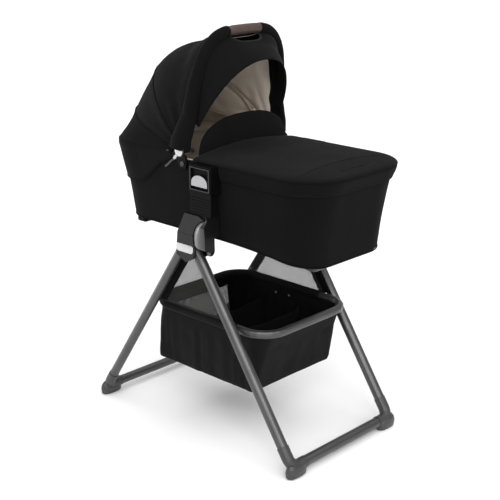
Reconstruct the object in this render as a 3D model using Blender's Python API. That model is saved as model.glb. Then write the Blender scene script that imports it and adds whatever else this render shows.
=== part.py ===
"""Bassinet on a folding stand.

Metres, +Z up. +X points to the foot end of the bassinet, -Y is the near side.
The object is mirrored about the plane Y = 0. Everything is laid out with X = 0
where the centre lines of the legs cross, and shifted by FRAME_SHIFT at the end
so that the origin lies on the floor under the middle of the whole object.
"""

import math

import bmesh
import bpy
from mathutils import Matrix, Vector

# ---------------------------------------------------------------- dimensions
FRAME_SHIFT = -0.0197      # moves the middle of the object's length onto X = 0

# stand
HALF_SPREAD = 0.380        # leg centre line at the floor bar, from X = 0
APEX_Z = 0.5953            # height where the leg centre lines cross
BAR_Z = 0.0279             # height of the floor bars' centre line
LEG_Y = 0.2115             # leg centre line from the middle plane
R_HEAD_TUBE = 0.0135
R_FOOT_TUBE = 0.0150
TUBE_WALL = 0.0016
PIVOT_X = 0.0260           # leg pivots, either side of X = 0
PIVOT_Z = 0.5565
PIN_R = 0.0045
COLLAR = 0.060             # how far a moulded corner reaches up the leg
ELBOW = 0.052              # how far it reaches along the floor bar
HUB_IN, HUB_PLATE = 0.1893, 0.1953   # inner hub plate, from the middle plane
HUB_FRONT_IN, HUB_FRONT = 0.2310, 0.2365
HUB_TOP = 0.6640
POST_X0, POST_X1 = 0.0235, 0.1035
POST_TOP = 0.7262
TONGUE_TOP = 0.7815

# basket
RING_Z = 0.3510
RING_R = 0.0118
RING_HALF_W = 0.1790
RING_X0, RING_X1 = -0.1900, 0.2520
RING_CORNER = 0.070
SLEEVE_X = 0.1450            # where the fabric sleeve on the side rails ends
RIVET_X = HALF_SPREAD * (APEX_Z - RING_Z) / (APEX_Z - BAR_Z)
BAG_FLOOR_Z = 0.1680

# bassinet body
TUB_FLOOR_Z = 0.5850
RIM_Z = 0.7965
MATTRESS_TOP = 0.6380
SKID_Z = 0.5610              # underside of the two skids
HOUSING_X0, HOUSING_X1 = 0.0225, 0.1045
HOUSING_Z0, HOUSING_Z1 = 0.7272, 0.8000

# canopy
CAN_X, CAN_Z = -0.0468, 0.8134       # pivot axis of the handle and the bows
HANDLE_ANGLE = 8.5
HANDLE_R, HANDLE_W, HANDLE_N = 0.3215, 0.1735, 3.67
HANDLE_TUBE = 0.0143
MID_ANGLE, REAR_ANGLE = -49.0, -78.4
BOW_TUBE = 0.0040

GAP = 0.0004


# ---------------------------------------------------------------- scene
for old in list(bpy.data.objects):
    bpy.data.objects.remove(old, do_unlink=True)


def paint(name, colour, rough, metal):
    mat = bpy.data.materials.new(name)
    mat.use_nodes = True
    shader = mat.node_tree.nodes["Principled BSDF"]
    shader.inputs["Base Color"].default_value = (*colour, 1.0)
    shader.inputs["Roughness"].default_value = rough
    shader.inputs["Metallic"].default_value = metal
    mat.diffuse_color = (*colour, 1.0)
    return mat


GRAPHITE = paint("graphite_tube", (0.10, 0.10, 0.105), 0.35, 0.9)
GRAPHITE_PLASTIC = paint("graphite_moulding", (0.09, 0.09, 0.095), 0.45, 0.2)
BLACK_PLASTIC = paint("black_moulding", (0.012, 0.012, 0.013), 0.5, 0.0)
SILVER = paint("bright_trim", (0.62, 0.62, 0.62), 0.28, 0.9)
STEEL = paint("pin_steel", (0.45, 0.45, 0.46), 0.3, 1.0)
BLACK_FABRIC = paint("black_fabric", (0.012, 0.012, 0.013), 0.92, 0.0)
CHARCOAL_FABRIC = paint("charcoal_fabric", (0.022, 0.021, 0.022), 0.92, 0.0)
LINING = paint("taupe_lining", (0.28, 0.24, 0.19), 0.95, 0.0)
MESH_FABRIC = paint("grey_mesh", (0.30, 0.29, 0.27), 0.95, 0.0)
LEATHER = paint("brown_grip", (0.10, 0.058, 0.045), 0.5, 0.0)
BOARD = paint("base_board", (0.03, 0.03, 0.03), 0.7, 0.0)
MATTRESS = paint("mattress_cover", (0.55, 0.52, 0.47), 0.95, 0.0)


def build(name, verts, faces, mat, origin=(0.0, 0.0, 0.0), angle=35.0, hide=False):
    """A mesh object from world points, with its origin at `origin`."""
    mesh = bpy.data.meshes.new(name)
    mesh.from_pydata([tuple(Vector(v) - Vector(origin)) for v in verts], [], faces)
    work = bmesh.new()
    work.from_mesh(mesh)
    bmesh.ops.remove_doubles(work, verts=work.verts, dist=1e-6)
    bmesh.ops.recalc_face_normals(work, faces=work.faces)
    work.to_mesh(mesh)
    work.free()
    mesh.shade_smooth()
    mesh.set_sharp_from_angle(angle=math.radians(angle))
    obj = bpy.data.objects.new(name, mesh)
    bpy.context.scene.collection.objects.link(obj)
    obj.location = origin
    if mat is not None:
        mesh.materials.append(mat)
    if hide:
        obj.hide_render = True
        obj.display_type = "WIRE"
    return obj


def boolean(obj, tool, operation):
    mod = obj.modifiers.new(operation.lower() + "_" + tool.name, "BOOLEAN")
    mod.operation = operation
    mod.solver = "EXACT"
    mod.object = tool
    tool.hide_render = True
    tool.display_type = "WIRE"


def bevel(obj, width, segments=2, angle=40.0):
    mod = obj.modifiers.new("bevel", "BEVEL")
    mod.width = width
    mod.segments = segments
    mod.limit_method = "ANGLE"
    mod.angle_limit = math.radians(angle)
    mod.use_clamp_overlap = True


# ---------------------------------------------------------------- shapes
def box_data(x0, x1, y0, y1, z0, z1):
    v = [(x, y, z) for x in (x0, x1) for y in (y0, y1) for z in (z0, z1)]
    f = [(0, 1, 3, 2), (4, 6, 7, 5), (0, 4, 5, 1), (2, 3, 7, 6), (0, 2, 6, 4), (1, 5, 7, 3)]
    return v, f


def prism_data(outline, y0, y1):
    """An outline in X and Z, drawn out along Y."""
    n = len(outline)
    v = [(x, y0, z) for x, z in outline] + [(x, y1, z) for x, z in outline]
    f = [tuple(range(n)), tuple(range(n, 2 * n))]
    f += [(i, (i + 1) % n, n + (i + 1) % n, n + i) for i in range(n)]
    return v, f


def ring_of(centre, side, up, radius, sides):
    return [centre + radius * (math.cos(2 * math.pi * k / sides) * side
                               + math.sin(2 * math.pi * k / sides) * up) for k in range(sides)]


def sweep_data(path, radius, sides=16, closed=False):
    """A round section carried along a path without twist. radius may be a list."""
    pts = [Vector(p) for p in path]
    n = len(pts)
    tangents = []
    for i in range(n):
        a = pts[(i - 1) % n] if closed or i > 0 else pts[i]
        b = pts[(i + 1) % n] if closed or i < n - 1 else pts[i]
        tangents.append((b - a).normalized())
    ref = Vector((0, 1, 0)) if abs(tangents[0].y) < 0.9 else Vector((0, 0, 1))
    side = (ref - tangents[0] * ref.dot(tangents[0])).normalized()
    verts, faces = [], []
    for i in range(n):
        t = tangents[i]
        side = (side - t * side.dot(t)).normalized()
        r = radius[i] if isinstance(radius, (list, tuple)) else radius
        verts += ring_of(pts[i], side, t.cross(side), r, sides)
    rows = n if closed else n - 1
    for i in range(rows):
        for k in range(sides):
            a, b = i * sides + k, i * sides + (k + 1) % sides
            c, d = ((i + 1) % n) * sides + (k + 1) % sides, ((i + 1) % n) * sides + k
            faces.append((a, b, c, d))
    if not closed:
        faces += [tuple(range(sides)), tuple((n - 1) * sides + k for k in range(sides))]
    return verts, faces


def pipe_data(a, b, radius, wall, sides=20):
    """A straight round pipe, open at both ends."""
    a, b = Vector(a), Vector(b)
    t = (b - a).normalized()
    ref = Vector((0, 1, 0)) if abs(t.y) < 0.9 else Vector((0, 0, 1))
    side = (ref - t * ref.dot(t)).normalized()
    up = t.cross(side)
    v = []
    for centre, r in ((a, radius), (b, radius), (b, radius - wall), (a, radius - wall)):
        v += ring_of(centre, side, up, r, sides)
    f = []
    for i in range(4):
        j = (i + 1) % 4
        for k in range(sides):
            m = (k + 1) % sides
            f.append((i * sides + k, i * sides + m, j * sides + m, j * sides + k))
    return v, f


def sleeve_data(path, r_out, r_in, sides=14):
    """A thin round sleeve along a path, open at both ends."""
    v, f = sweep_data(path, r_out, sides)
    w, g = sweep_data(path, r_in, sides)
    off, end = len(v), (len(path) - 1) * sides
    f = f[:-2] + [tuple(off + i for i in reversed(q)) for q in g[:-2]]
    for k in range(sides):
        m = (k + 1) % sides
        f += [(m, k, off + k, off + m), (end + k, end + m, off + end + m, off + end + k)]
    return v + w, f


def rod_data(a, b, radius, sides=16):
    return sweep_data([a, b], radius, sides)


def loft_data(rings, cap_start=True, cap_end=True):
    n = len(rings[0])
    v = [p for ring in rings for p in ring]
    f = []
    for i in range(len(rings) - 1):
        for k in range(n):
            m = (k + 1) % n
            f.append((i * n + k, i * n + m, (i + 1) * n + m, (i + 1) * n + k))
    if cap_start:
        f.append(tuple(range(n)))
    if cap_end:
        f.append(tuple((len(rings) - 1) * n + k for k in range(n)))
    return v, f


def slab_data(grid, thickness):
    """A curved sheet of even thickness: `grid` is its outer face, the inner face lies behind the normals."""
    rows, cols = len(grid), len(grid[0])
    g = [[Vector(p) for p in row] for row in grid]
    inner = []
    for i in range(rows):
        line = []
        for j in range(cols):
            du = g[min(i + 1, rows - 1)][j] - g[max(i - 1, 0)][j]
            dv = g[i][min(j + 1, cols - 1)] - g[i][max(j - 1, 0)]
            line.append(g[i][j] - du.cross(dv).normalized() * thickness)
        inner.append(line)
    v = [p for row in g for p in row] + [p for row in inner for p in row]
    off = rows * cols
    f = []
    for i in range(rows - 1):
        for j in range(cols - 1):
            a, b, c, d = i * cols + j, i * cols + j + 1, (i + 1) * cols + j + 1, (i + 1) * cols + j
            f += [(a, b, c, d), (off + d, off + c, off + b, off + a)]
    for j in range(cols - 1):
        a, b = j, j + 1
        f.append((b, a, off + a, off + b))
        a, b = (rows - 1) * cols + j, (rows - 1) * cols + j + 1
        f.append((a, b, off + b, off + a))
    for i in range(rows - 1):
        a, b = i * cols, (i + 1) * cols
        f.append((a, b, off + b, off + a))
        a, b = i * cols + cols - 1, (i + 1) * cols + cols - 1
        f.append((b, a, off + a, off + b))
    return v, f


def rounded_plan(x0, x1, half, r_head, r_foot, n=6):
    """Points round a rounded rectangle, anticlockwise from the near foot corner."""
    pts = []
    for cx, cy, r, start in ((x1 - r_foot, -half + r_foot, r_foot, -90), (x1 - r_foot, half - r_foot, r_foot, 0),
                             (x0 + r_head, half - r_head, r_head, 90), (x0 + r_head, -half + r_head, r_head, 180)):
        for i in range(n + 1):
            a = math.radians(start + 90.0 * i / n)
            pts.append((cx + r * math.cos(a), cy + r * math.sin(a)))
    return pts


def step(t):
    t = min(max(t, 0.0), 1.0)
    return t * t * (3 - 2 * t)


def plan_ring(x0, x1, half, rh, rf, z, n=6):
    return [(x, y, z) for x, y in rounded_plan(x0, x1, half, rh, rf, n)]


def arch_point(angle, radius, half, power, t):
    """A point on a bow: t runs 0 to 1 from the near pivot over the top to the far one."""
    a = math.pi * t
    y = -half * math.copysign(abs(math.cos(a)) ** (2 / power), math.cos(a))
    s = radius * abs(math.sin(a)) ** (2 / power)
    return s, y


def spoke(angle, s, y):
    b = math.radians(angle)
    return Vector((CAN_X + s * math.sin(b), y, CAN_Z + s * math.cos(b)))


SIDES = (("near", -1.0), ("far", 1.0))
LEG_LEN = math.hypot(HALF_SPREAD, APEX_Z - BAR_Z)
LEG_UP = Vector((HALF_SPREAD, 0.0, -(APEX_Z - BAR_Z))) / LEG_LEN


# ---------------------------------------------------------------- stand legs
def frame_parts(prefix, end, radius, pivot):
    """One U frame of the stand: two legs, a floor bar and two moulded corners."""
    down = Vector((end * LEG_UP.x, 0.0, LEG_UP.z))
    for side, sy in SIDES:
        corner = Vector((end * HALF_SPREAD, sy * LEG_Y, BAR_Z))
        top = Vector((pivot[0], sy * LEG_Y, pivot[2])) - down * 0.017
        foot = corner - down * (COLLAR + GAP)
        v, f = pipe_data(top, foot, radius, TUBE_WALL, 22)
        leg = build(f"{prefix}_leg_{side}", v, f, GRAPHITE, pivot)
        hole = build(f"cut_{prefix}_leg_{side}", *rod_data((pivot[0], sy * (LEG_Y - 0.04), pivot[2]),
                     (pivot[0], sy * (LEG_Y + 0.04), pivot[2]), PIN_R + 0.0005, 16), None, hide=True)
        boolean(leg, hole, "DIFFERENCE")

        # the moulded corner: a bent collar with a foot under and outside it
        path = []
        a, b = corner - down * COLLAR, corner + Vector((0, -sy * ELBOW, 0))
        start, stop = corner - down * 0.030, corner + Vector((0, -sy * 0.030, 0))
        path.append(a)
        for i in range(7):
            t = i / 6
            path.append((1 - t) ** 2 * start + 2 * t * (1 - t) * corner + t * t * stop)
        path.append(b)
        collar = build(f"{prefix}_corner_{side}", *sweep_data(path, radius + 0.0016, 20), GRAPHITE_PLASTIC, pivot)
        cx, cy = corner.x + end * 0.0025, sy * (LEG_Y - 0.0150)
        rings = []
        for z, long, wide in ((0.0, 0.0300, 0.0120), (0.0040, 0.0345, 0.0160), (0.0190, 0.0355, 0.0180), (0.0300, 0.0330, 0.0155),
                              (0.0380, 0.0270, 0.0100)):
            row = []
            for i in range(24):
                a = 2 * math.pi * i / 24
                ca, sa = math.cos(a), math.sin(a)
                row.append((cx + wide * math.copysign(abs(ca) ** 0.8, ca), cy + long * math.copysign(abs(sa) ** 0.8, sa), z))
            rings.append(row)
        pad = build(f"pad_{prefix}_{side}", *loft_data(rings), GRAPHITE_PLASTIC, pivot, hide=True)
        boolean(collar, pad, "UNION")
    v, f = pipe_data((end * HALF_SPREAD, -LEG_Y + ELBOW + GAP, BAR_Z), (end * HALF_SPREAD, LEG_Y - ELBOW - GAP, BAR_Z),
                     radius, TUBE_WALL, 22)
    build(f"{prefix}_floor_bar", v, f, GRAPHITE, pivot)


HEAD_PIVOT = (-PIVOT_X, 0.0, PIVOT_Z)
FOOT_PIVOT = (PIVOT_X, 0.0, PIVOT_Z)
frame_parts("head", -1, R_HEAD_TUBE, HEAD_PIVOT)
frame_parts("foot", 1, R_FOOT_TUBE, FOOT_PIVOT)


# ---------------------------------------------------------------- hubs and posts
for side, sy in SIDES:
    def y(value):
        return sy * value

    plate = [(-0.044, 0.542), (-0.040, 0.600), (0.004, HUB_TOP), (0.088, HUB_TOP), (0.088, 0.614), (0.060, 0.588), (0.056, 0.548), (0.044, 0.538), (-0.030, 0.534)]
    bracket = build(f"hub_bracket_{side}", *prism_data(plate, y(HUB_IN), y(HUB_PLATE)), GRAPHITE_PLASTIC)
    core = build(f"core_{side}", *box_data(0.010, 0.094, y(HUB_PLATE - 0.002), y(HUB_FRONT_IN - GAP), 0.606, HUB_TOP),
                 GRAPHITE_PLASTIC, hide=True)
    boolean(bracket, core, "UNION")
    for tag, px in (("a", -PIVOT_X), ("b", PIVOT_X)):
        pin = build(f"pin_{tag}_{side}", *rod_data((px, y(HUB_PLATE - 0.002), PIVOT_Z), (px, y(HUB_FRONT_IN - 0.0035), PIVOT_Z),
                    PIN_R, 16), STEEL, hide=True)
        boolean(bracket, pin, "UNION")

    # outer shells: upper cover on the head side, rounded shoulder on the foot side
    arc_x, arc_z, arc_r = 0.0985, 0.5975, 0.0600
    seat = []
    for i in range(9):
        a = math.radians(108 + i * (206 - 108) / 8)
        seat.append((arc_x + (arc_r + 0.0006) * math.cos(a), arc_z + (arc_r + 0.0006) * math.sin(a)))
    split_z = 0.6060
    upper_seat = [p for p in seat if p[1] > split_z + 0.002]
    cover = [(-0.0225, split_z), (0.0065, HUB_TOP - GAP), (0.0600, HUB_TOP - GAP)] + upper_seat + [(0.0370, split_z)]
    build(f"hub_cover_{side}", *prism_data(cover, y(HUB_FRONT_IN), y(HUB_FRONT)), GRAPHITE_PLASTIC)
    lower_seat = [p for p in seat if p[1] < split_z - 0.003]
    release = [(-0.0228, split_z - 0.0006), (0.0370, split_z - 0.0006)] + lower_seat + \
              [(0.0400, 0.5470), (0.0380, 0.5390), (0.0095, 0.5240), (-0.0270, 0.5400), (-0.0280, 0.5480)]
    build(f"fold_release_{side}", *prism_data(release, y(HUB_FRONT_IN), y(HUB_FRONT)), GRAPHITE_PLASTIC,
          (0.0, y(HUB_FRONT), 0.570))
    trim = [(-0.0268, 0.5755), (0.0378, 0.5755), (0.0385, 0.5650), (0.0395, 0.5520), (-0.0268, 0.5520)]
    build(f"hub_trim_plate_{side}", *prism_data(trim, y(HUB_FRONT + 0.0004), y(HUB_FRONT + 0.0014)), SILVER,
          (0.0, y(HUB_FRONT), 0.570))
    lobe = []
    for i in range(10):
        a = math.radians(96 + i * (212 - 96) / 9)
        lobe.append((arc_x + arc_r * math.cos(a), arc_z + arc_r * math.sin(a)))
    lobe += [(0.0520, 0.5530), (0.0920, 0.5530), (0.1035, 0.5700), (0.1040, 0.6560)]
    shoulder = build(f"hub_shoulder_{side}", *prism_data(lobe, y(HUB_FRONT_IN), y(HUB_FRONT + 0.0045)), GRAPHITE_PLASTIC)
    bevel(shoulder, 0.0035, 3, 25)

    # the post that the bassinet drops onto
    post = build(f"mount_post_{side}", *box_data(POST_X0, POST_X1, y(0.2050), y(0.2315), HUB_TOP + GAP, POST_TOP), BLACK_PLASTIC)
    tongue = build(f"tongue_{side}", *box_data(0.0370, 0.0900, y(0.2095), y(0.2220), HUB_TOP + 0.02, TONGUE_TOP),
                   BLACK_PLASTIC, hide=True)
    bevel(tongue, 0.0030, 2)
    boolean(post, tongue, "UNION")

    # bassinet side housing that closes over the post, with a pocket open below
    wall_lo, wall_hi = 0.1925, 0.2005
    profile = [(wall_lo, HOUSING_Z0), (0.2345, HOUSING_Z0), (0.2325, HOUSING_Z1), (wall_hi, HOUSING_Z1)]
    v = [(x, y(a), b) for x in (HOUSING_X0, HOUSING_X1) for a, b in profile]
    f = [(0, 1, 2, 3), (4, 5, 6, 7), (0, 1, 5, 4), (1, 2, 6, 5), (2, 3, 7, 6), (3, 0, 4, 7)]
    housing = build(f"mount_housing_{side}", v, f, BLACK_PLASTIC)
    pocket = build(f"pocket_{side}", *box_data(0.0362, 0.0908, y(0.2087), y(0.2228), HOUSING_Z0 - 0.02, TONGUE_TOP + 0.0012),
                   None, hide=True)
    boolean(housing, pocket, "DIFFERENCE")
    recess = build(f"recess_{side}", *box_data(0.0300, 0.0970, y(0.2278), y(0.2500), 0.7355, 0.7925), None, hide=True)
    boolean(housing, recess, "DIFFERENCE")
    moon = [(0.0340, 0.7435), (0.0930, 0.7435)]
    for i in range(1, 12):
        a = math.pi * i / 12
        moon.append((0.0635 + 0.0295 * math.cos(a), 0.7560 + 0.0255 * math.sin(a)))
    moon = [moon[0], moon[1], (0.0930, 0.7560)] + moon[2:] + [(0.0340, 0.7560)]
    build(f"release_button_{side}", *prism_data(moon, y(0.2306), y(0.2352)), SILVER, (0.0635, y(0.2352), 0.7600))


# ---------------------------------------------------------------- basket
ring_path = [(x, yy, RING_Z) for x, yy in rounded_plan(RING_X0, RING_X1, RING_HALF_W, RING_CORNER, RING_CORNER, 6)]
RIVET = (RIVET_X, 0.0, RING_Z)
ring = build("basket_ring", *sweep_data(ring_path, RING_R, 14, closed=True), GRAPHITE, RIVET)
for side, sy in SIDES:
    # a rivet through the leg into the ring, held in the leg
    build(f"basket_rivet_{side}",
          *rod_data((RIVET_X, sy * (RING_HALF_W + RING_R + 0.0004), RING_Z),
                    (RIVET_X, sy * (LEG_Y - R_FOOT_TUBE + 0.0140), RING_Z), 0.0040, 14), STEEL, FOOT_PIVOT)
    leg = bpy.data.objects[f"foot_leg_{side}"]
    hole = build(f"rivet_hole_{side}", *rod_data((RIVET_X, sy * (LEG_Y - 0.030), RING_Z), (RIVET_X, sy * (LEG_Y - R_FOOT_TUBE + 0.0150), RING_Z),
                 0.0044, 14), None, hide=True)
    boolean(leg, hole, "DIFFERENCE")

hem_path = [(SLEEVE_X, -RING_HALF_W, RING_Z)]
for x, yy, z in reversed(ring_path):
    if x < SLEEVE_X - 0.02:
        hem_path.append((x, yy, z))
hem_path.append((SLEEVE_X, RING_HALF_W, RING_Z))
build("basket_hem_band", *sleeve_data(hem_path, RING_R + 0.0021, RING_R + 0.0005), BLACK_FABRIC, RIVET)

bag_top = RING_Z - RING_R - 0.0018
rings = []
BAG_STEPS = ((0.0, -0.158, 0.188, 0.148, BAG_FLOOR_Z), (1.0, -0.165, 0.195, 0.155, BAG_FLOOR_Z + 0.006),
             (1.0, -0.168, 0.206, 0.159, 0.220), (1.0, -0.175, 0.226, 0.1665, 0.300), (1.0, -0.183, 0.240, 0.1720, bag_top))
WALL = 0.0030
for _, x0, x1, half, z in BAG_STEPS:
    rc = 0.020 + 0.030 * (z - BAG_FLOOR_Z) / (bag_top - BAG_FLOOR_Z)
    rings.append(plan_ring(x0, x1, half, rc, rc, z, 5))
for k, (_, x0, x1, half, z) in enumerate(reversed(BAG_STEPS)):
    z_in = max(z, BAG_FLOOR_Z + WALL) if k < 3 else BAG_FLOOR_Z + (0.0095 if k == 3 else WALL)
    rc = 0.018 + 0.030 * (z - BAG_FLOOR_Z) / (bag_top - BAG_FLOOR_Z)
    rings.append(plan_ring(x0 + WALL, x1 - WALL, half - WALL, rc, rc, z_in, 5))
build("basket_bag", *loft_data(rings), BLACK_FABRIC, RIVET)
for name, xd in (("basket_divider_head", -0.055), ("basket_divider_foot", 0.085)):
    v = [(xd - 0.001, yy, z) for yy, z in ((-0.135, 0.181), (0.135, 0.181), (0.161, 0.318), (0.08, 0.300), (-0.08, 0.300), (-0.161, 0.318))]
    v += [(xd + 0.001, yy, z) for _, yy, z in v]
    build(name, v, [tuple(range(6)), tuple(range(6, 12))] + [(i, (i + 1) % 6, 6 + (i + 1) % 6, 6 + i) for i in range(6)],
          BLACK_FABRIC, RIVET)
for side, sy in SIDES:
    low, high = RING_Z + RING_R + 0.0034, 0.5290
    slope = HALF_SPREAD / (APEX_Z - BAR_Z)
    outline = [(-slope * (APEX_Z - low) - 0.004, low), (slope * (APEX_Z - low) - 0.010, low), (slope * (APEX_Z - high) - 0.010, high),
               (-slope * (APEX_Z - high) - 0.004, high)]
    build(f"mesh_side_{side}", *prism_data(outline, sy * 0.1855, sy * 0.1875), MESH_FABRIC)


# ---------------------------------------------------------------- bassinet tub
def tub_level(z):
    """Outer outline of the tub at a height: head end, foot end, half width, corner radii."""
    t = max(0.0, (z - TUB_FLOOR_Z) / (RIM_Z - TUB_FLOOR_Z))
    u = t ** 1.6
    return (-0.3330 - 0.040 * u, 0.3900 + 0.040 * u, 0.1720 + 0.0255 * t, 0.105 + 0.018 * t, 0.085 + 0.030 * t)


def tub_ring(z, inset=0.0, n=6):
    x0, x1, half, rh, rf = tub_level(z)
    return plan_ring(x0 + inset, x1 - inset, half - inset, rh - inset, rf - inset, z, n)


FAB = 0.0036
rings = [tub_ring(TUB_FLOOR_Z, 0.020), tub_ring(TUB_FLOOR_Z + 0.0035, 0.006)]
rings += [tub_ring(z) for z in (TUB_FLOOR_Z + 0.0150, 0.640, 0.700, 0.750, RIM_Z)]
rings += [tub_ring(z, FAB) for z in (RIM_Z, 0.750, 0.700, 0.640, TUB_FLOOR_Z + 0.0170)]
rings += [tub_ring(TUB_FLOOR_Z + 0.0070, FAB + 0.006), tub_ring(TUB_FLOOR_Z + 0.0040, 0.024)]
build("tub_cover", *loft_data(rings), BLACK_FABRIC)

RIM_TUBE = 0.0075
rim_inset = FAB + RIM_TUBE + 0.0022
rim_path = tub_ring(RIM_Z - RIM_TUBE - 0.001, rim_inset, 7)
build("rim_frame", *sweep_data(rim_path, RIM_TUBE, 10, closed=True), STEEL)

LIN_TOP = RIM_Z - 2 * RIM_TUBE - 0.0035
LIN_OUT, LIN_IN = FAB + 0.0010, FAB + 0.0100
board_ring = [tub_ring(TUB_FLOOR_Z + 0.0075, FAB + 0.014), tub_ring(TUB_FLOOR_Z + 0.0125, FAB + 0.014)]
build("base_board", *loft_data(board_ring), BOARD)
rings = [tub_ring(0.6040, LIN_OUT + 0.002), tub_ring(0.640, LIN_OUT), tub_ring(0.700, LIN_OUT), tub_ring(0.750, LIN_OUT), tub_ring(LIN_TOP, LIN_OUT)]
rings += [tub_ring(LIN_TOP, LIN_IN), tub_ring(0.750, LIN_IN), tub_ring(0.700, LIN_IN), tub_ring(0.640, LIN_IN), tub_ring(0.6040, LIN_IN + 0.002)]
n_ring = len(rings[0])
v, f = loft_data(rings, False, False)
f += [((len(rings) - 1) * n_ring + k, (len(rings) - 1) * n_ring + (k + 1) % n_ring, (k + 1) % n_ring, k) for k in range(n_ring)]
build("tub_lining", v, f, LINING)
rings = [tub_ring(0.6040, 0.030), tub_ring(0.6060, 0.024), tub_ring(0.6320, 0.024), tub_ring(MATTRESS_TOP, 0.034)]
build("mattress", *loft_data(rings), MATTRESS)
for name, x0, x1, half in (("base_skid_head", -0.2980, -0.2620, 0.142), ("base_skid_foot", 0.3460, 0.3830, 0.116)):
    skid = build(name, *box_data(x0, x1, -half, half, SKID_Z, TUB_FLOOR_Z - GAP), BLACK_PLASTIC)
    bevel(skid, 0.0060, 3)


# ---------------------------------------------------------------- apron and wind flap
APRON_X0 = 0.0100
APRON_T = 0.0030


def apron_levels(grow, low):
    """Levels of the apron's skin, from the skirt's hem up over the rim to the domed top, each a U open to the head."""
    levels = []
    for z, inset in ((low, -0.0015), (0.7760, -0.0035), (0.7960, -0.0060), (0.8010 + grow * 0.5, -0.0045), (0.8035 + grow, 0.0040),
                     (0.8060 + grow, 0.0200), (0.8095 + grow, 0.0600), (0.8120 + grow, 0.1100), (0.8130 + grow, 0.1600)):
        x0, x1, half, rh, rf = tub_level(min(z, RIM_Z))
        push = grow - min(inset, 0.13)
        half, x1, rf = half + grow - inset, x1 + push, max(0.03, rf + push)
        rf = min(rf, half - 0.002)
        near = [(APRON_X0, -half), (0.060, -half), (0.1075, -half), (0.170, -half), (0.240, -half)]
        turn = []
        for i in range(7):
            a = math.radians(-90 + 90 * i / 6)
            turn.append((x1 - rf + rf * math.cos(a), -half + rf + rf * math.sin(a)))
        line = near + turn
        line += [(x, -yy) for x, yy in reversed(line)]
        levels.append([(x, yy, z) for x, yy in line])
    return levels


outer, inner = apron_levels(0.0040, 0.7640), apron_levels(0.0040 - APRON_T, 0.7640)
n_lev, n_row = len(outer), len(outer[0])
v = [p for row in outer for p in row] + [p for row in inner for p in row]
off = n_lev * n_row
f = []
for i in range(n_lev - 1):
    for k in range(n_row - 1):
        a, b, c, d = i * n_row + k, i * n_row + k + 1, (i + 1) * n_row + k + 1, (i + 1) * n_row + k
        f += [(a, b, c, d), (off + d, off + c, off + b, off + a)]
    for k in (0, n_row - 1):
        f.append((i * n_row + k, (i + 1) * n_row + k, off + (i + 1) * n_row + k, off + i * n_row + k))
for k in range(n_row - 1):
    f.append((k, k + 1, off + k + 1, off + k))
last_row = (n_lev - 1) * n_row
for k in range(n_row // 2 - 1):
    a, b = last_row + k, last_row + k + 1
    c, d = last_row + n_row - 2 - k, last_row + n_row - 1 - k
    f += [(a, b, c, d), (off + d, off + c, off + b, off + a)]
f.append((last_row, last_row + n_row - 1, off + last_row + n_row - 1, off + last_row))
apron = build("apron", v, f, CHARCOAL_FABRIC, (APRON_X0, 0, 0.80))
for side, sy in SIDES:
    notch = build(f"notch_{side}", *box_data(-0.02, HOUSING_X1 + 0.0015, sy * 0.1915, sy * 0.2600, 0.70, 0.8008), None, hide=True)
    boolean(apron, notch, "DIFFERENCE")

FLAP_X, FLAP_Z, FLAP_H, FLAP_HALF = 0.0015, 0.8190, 0.0900, 0.1740
FLAP_FOOT = 0.8030
front, back = [], []
cols = 25
for i in range(7):
    r = i / 6
    row_f, row_b = [], []
    for j in range(cols):
        yy = -FLAP_HALF + 2 * FLAP_HALF * j / (cols - 1)
        h = FLAP_H * max(0.0, 1 - abs(yy / FLAP_HALF) ** 2.6) ** 0.5
        z = FLAP_FOOT + (h + 0.009) * r
        puff = 0.0015 + 0.0030 * math.sin(math.pi * min(1.0, 0.15 + 0.8 * r)) * (1 - abs(yy / FLAP_HALF) ** 4)
        row_f.append((FLAP_X + puff, yy, z))
        row_b.append((FLAP_X - puff, yy, z))
    front.append(row_f)
    back.append(row_b)
v = [p for row in front for p in row] + [p for row in back for p in row]
off = 7 * cols
f = []
for i in range(6):
    for j in range(cols - 1):
        a, b, c, d = i * cols + j, i * cols + j + 1, (i + 1) * cols + j + 1, (i + 1) * cols + j
        f += [(a, b, c, d), (off + d, off + c, off + b, off + a)]
for j in range(cols - 1):
    f += [(j + 1, j, off + j, off + j + 1), (6 * cols + j, 6 * cols + j + 1, off + 6 * cols + j + 1, off + 6 * cols + j)]
for i in range(6):
    a, b = i * cols, (i + 1) * cols
    f += [(a, b, off + b, off + a), (b + cols - 1, a + cols - 1, off + a + cols - 1, off + b + cols - 1)]
build("wind_flap", v, f, CHARCOAL_FABRIC, (FLAP_X, 0, FLAP_Z))


# ---------------------------------------------------------------- canopy
PIVOT = (CAN_X, 0.0, CAN_Z)


def bow_path(angle, radius, half, power, base_y, low_y, steps=26):
    """A bow's centre line. Near the pivot it steps in, so that the bows pass each other when the hood folds."""
    foot = [spoke(angle, 0.0, -base_y), spoke(angle, 0.015, -base_y), spoke(angle, 0.030, -low_y), spoke(angle, 0.085, -low_y)]
    pts = list(foot)
    for i in range(steps + 1):
        s, yy = arch_point(angle, radius, half, power, i / steps)
        if s > 0.100:
            k = step((s - 0.085) / 0.11)
            pts.append(spoke(angle, s, math.copysign(low_y + (abs(yy) - low_y) * k if abs(yy) > low_y else abs(yy), yy)))
    return pts + [Vector((q.x, -q.y, q.z)) for q in reversed(foot)]


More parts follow.
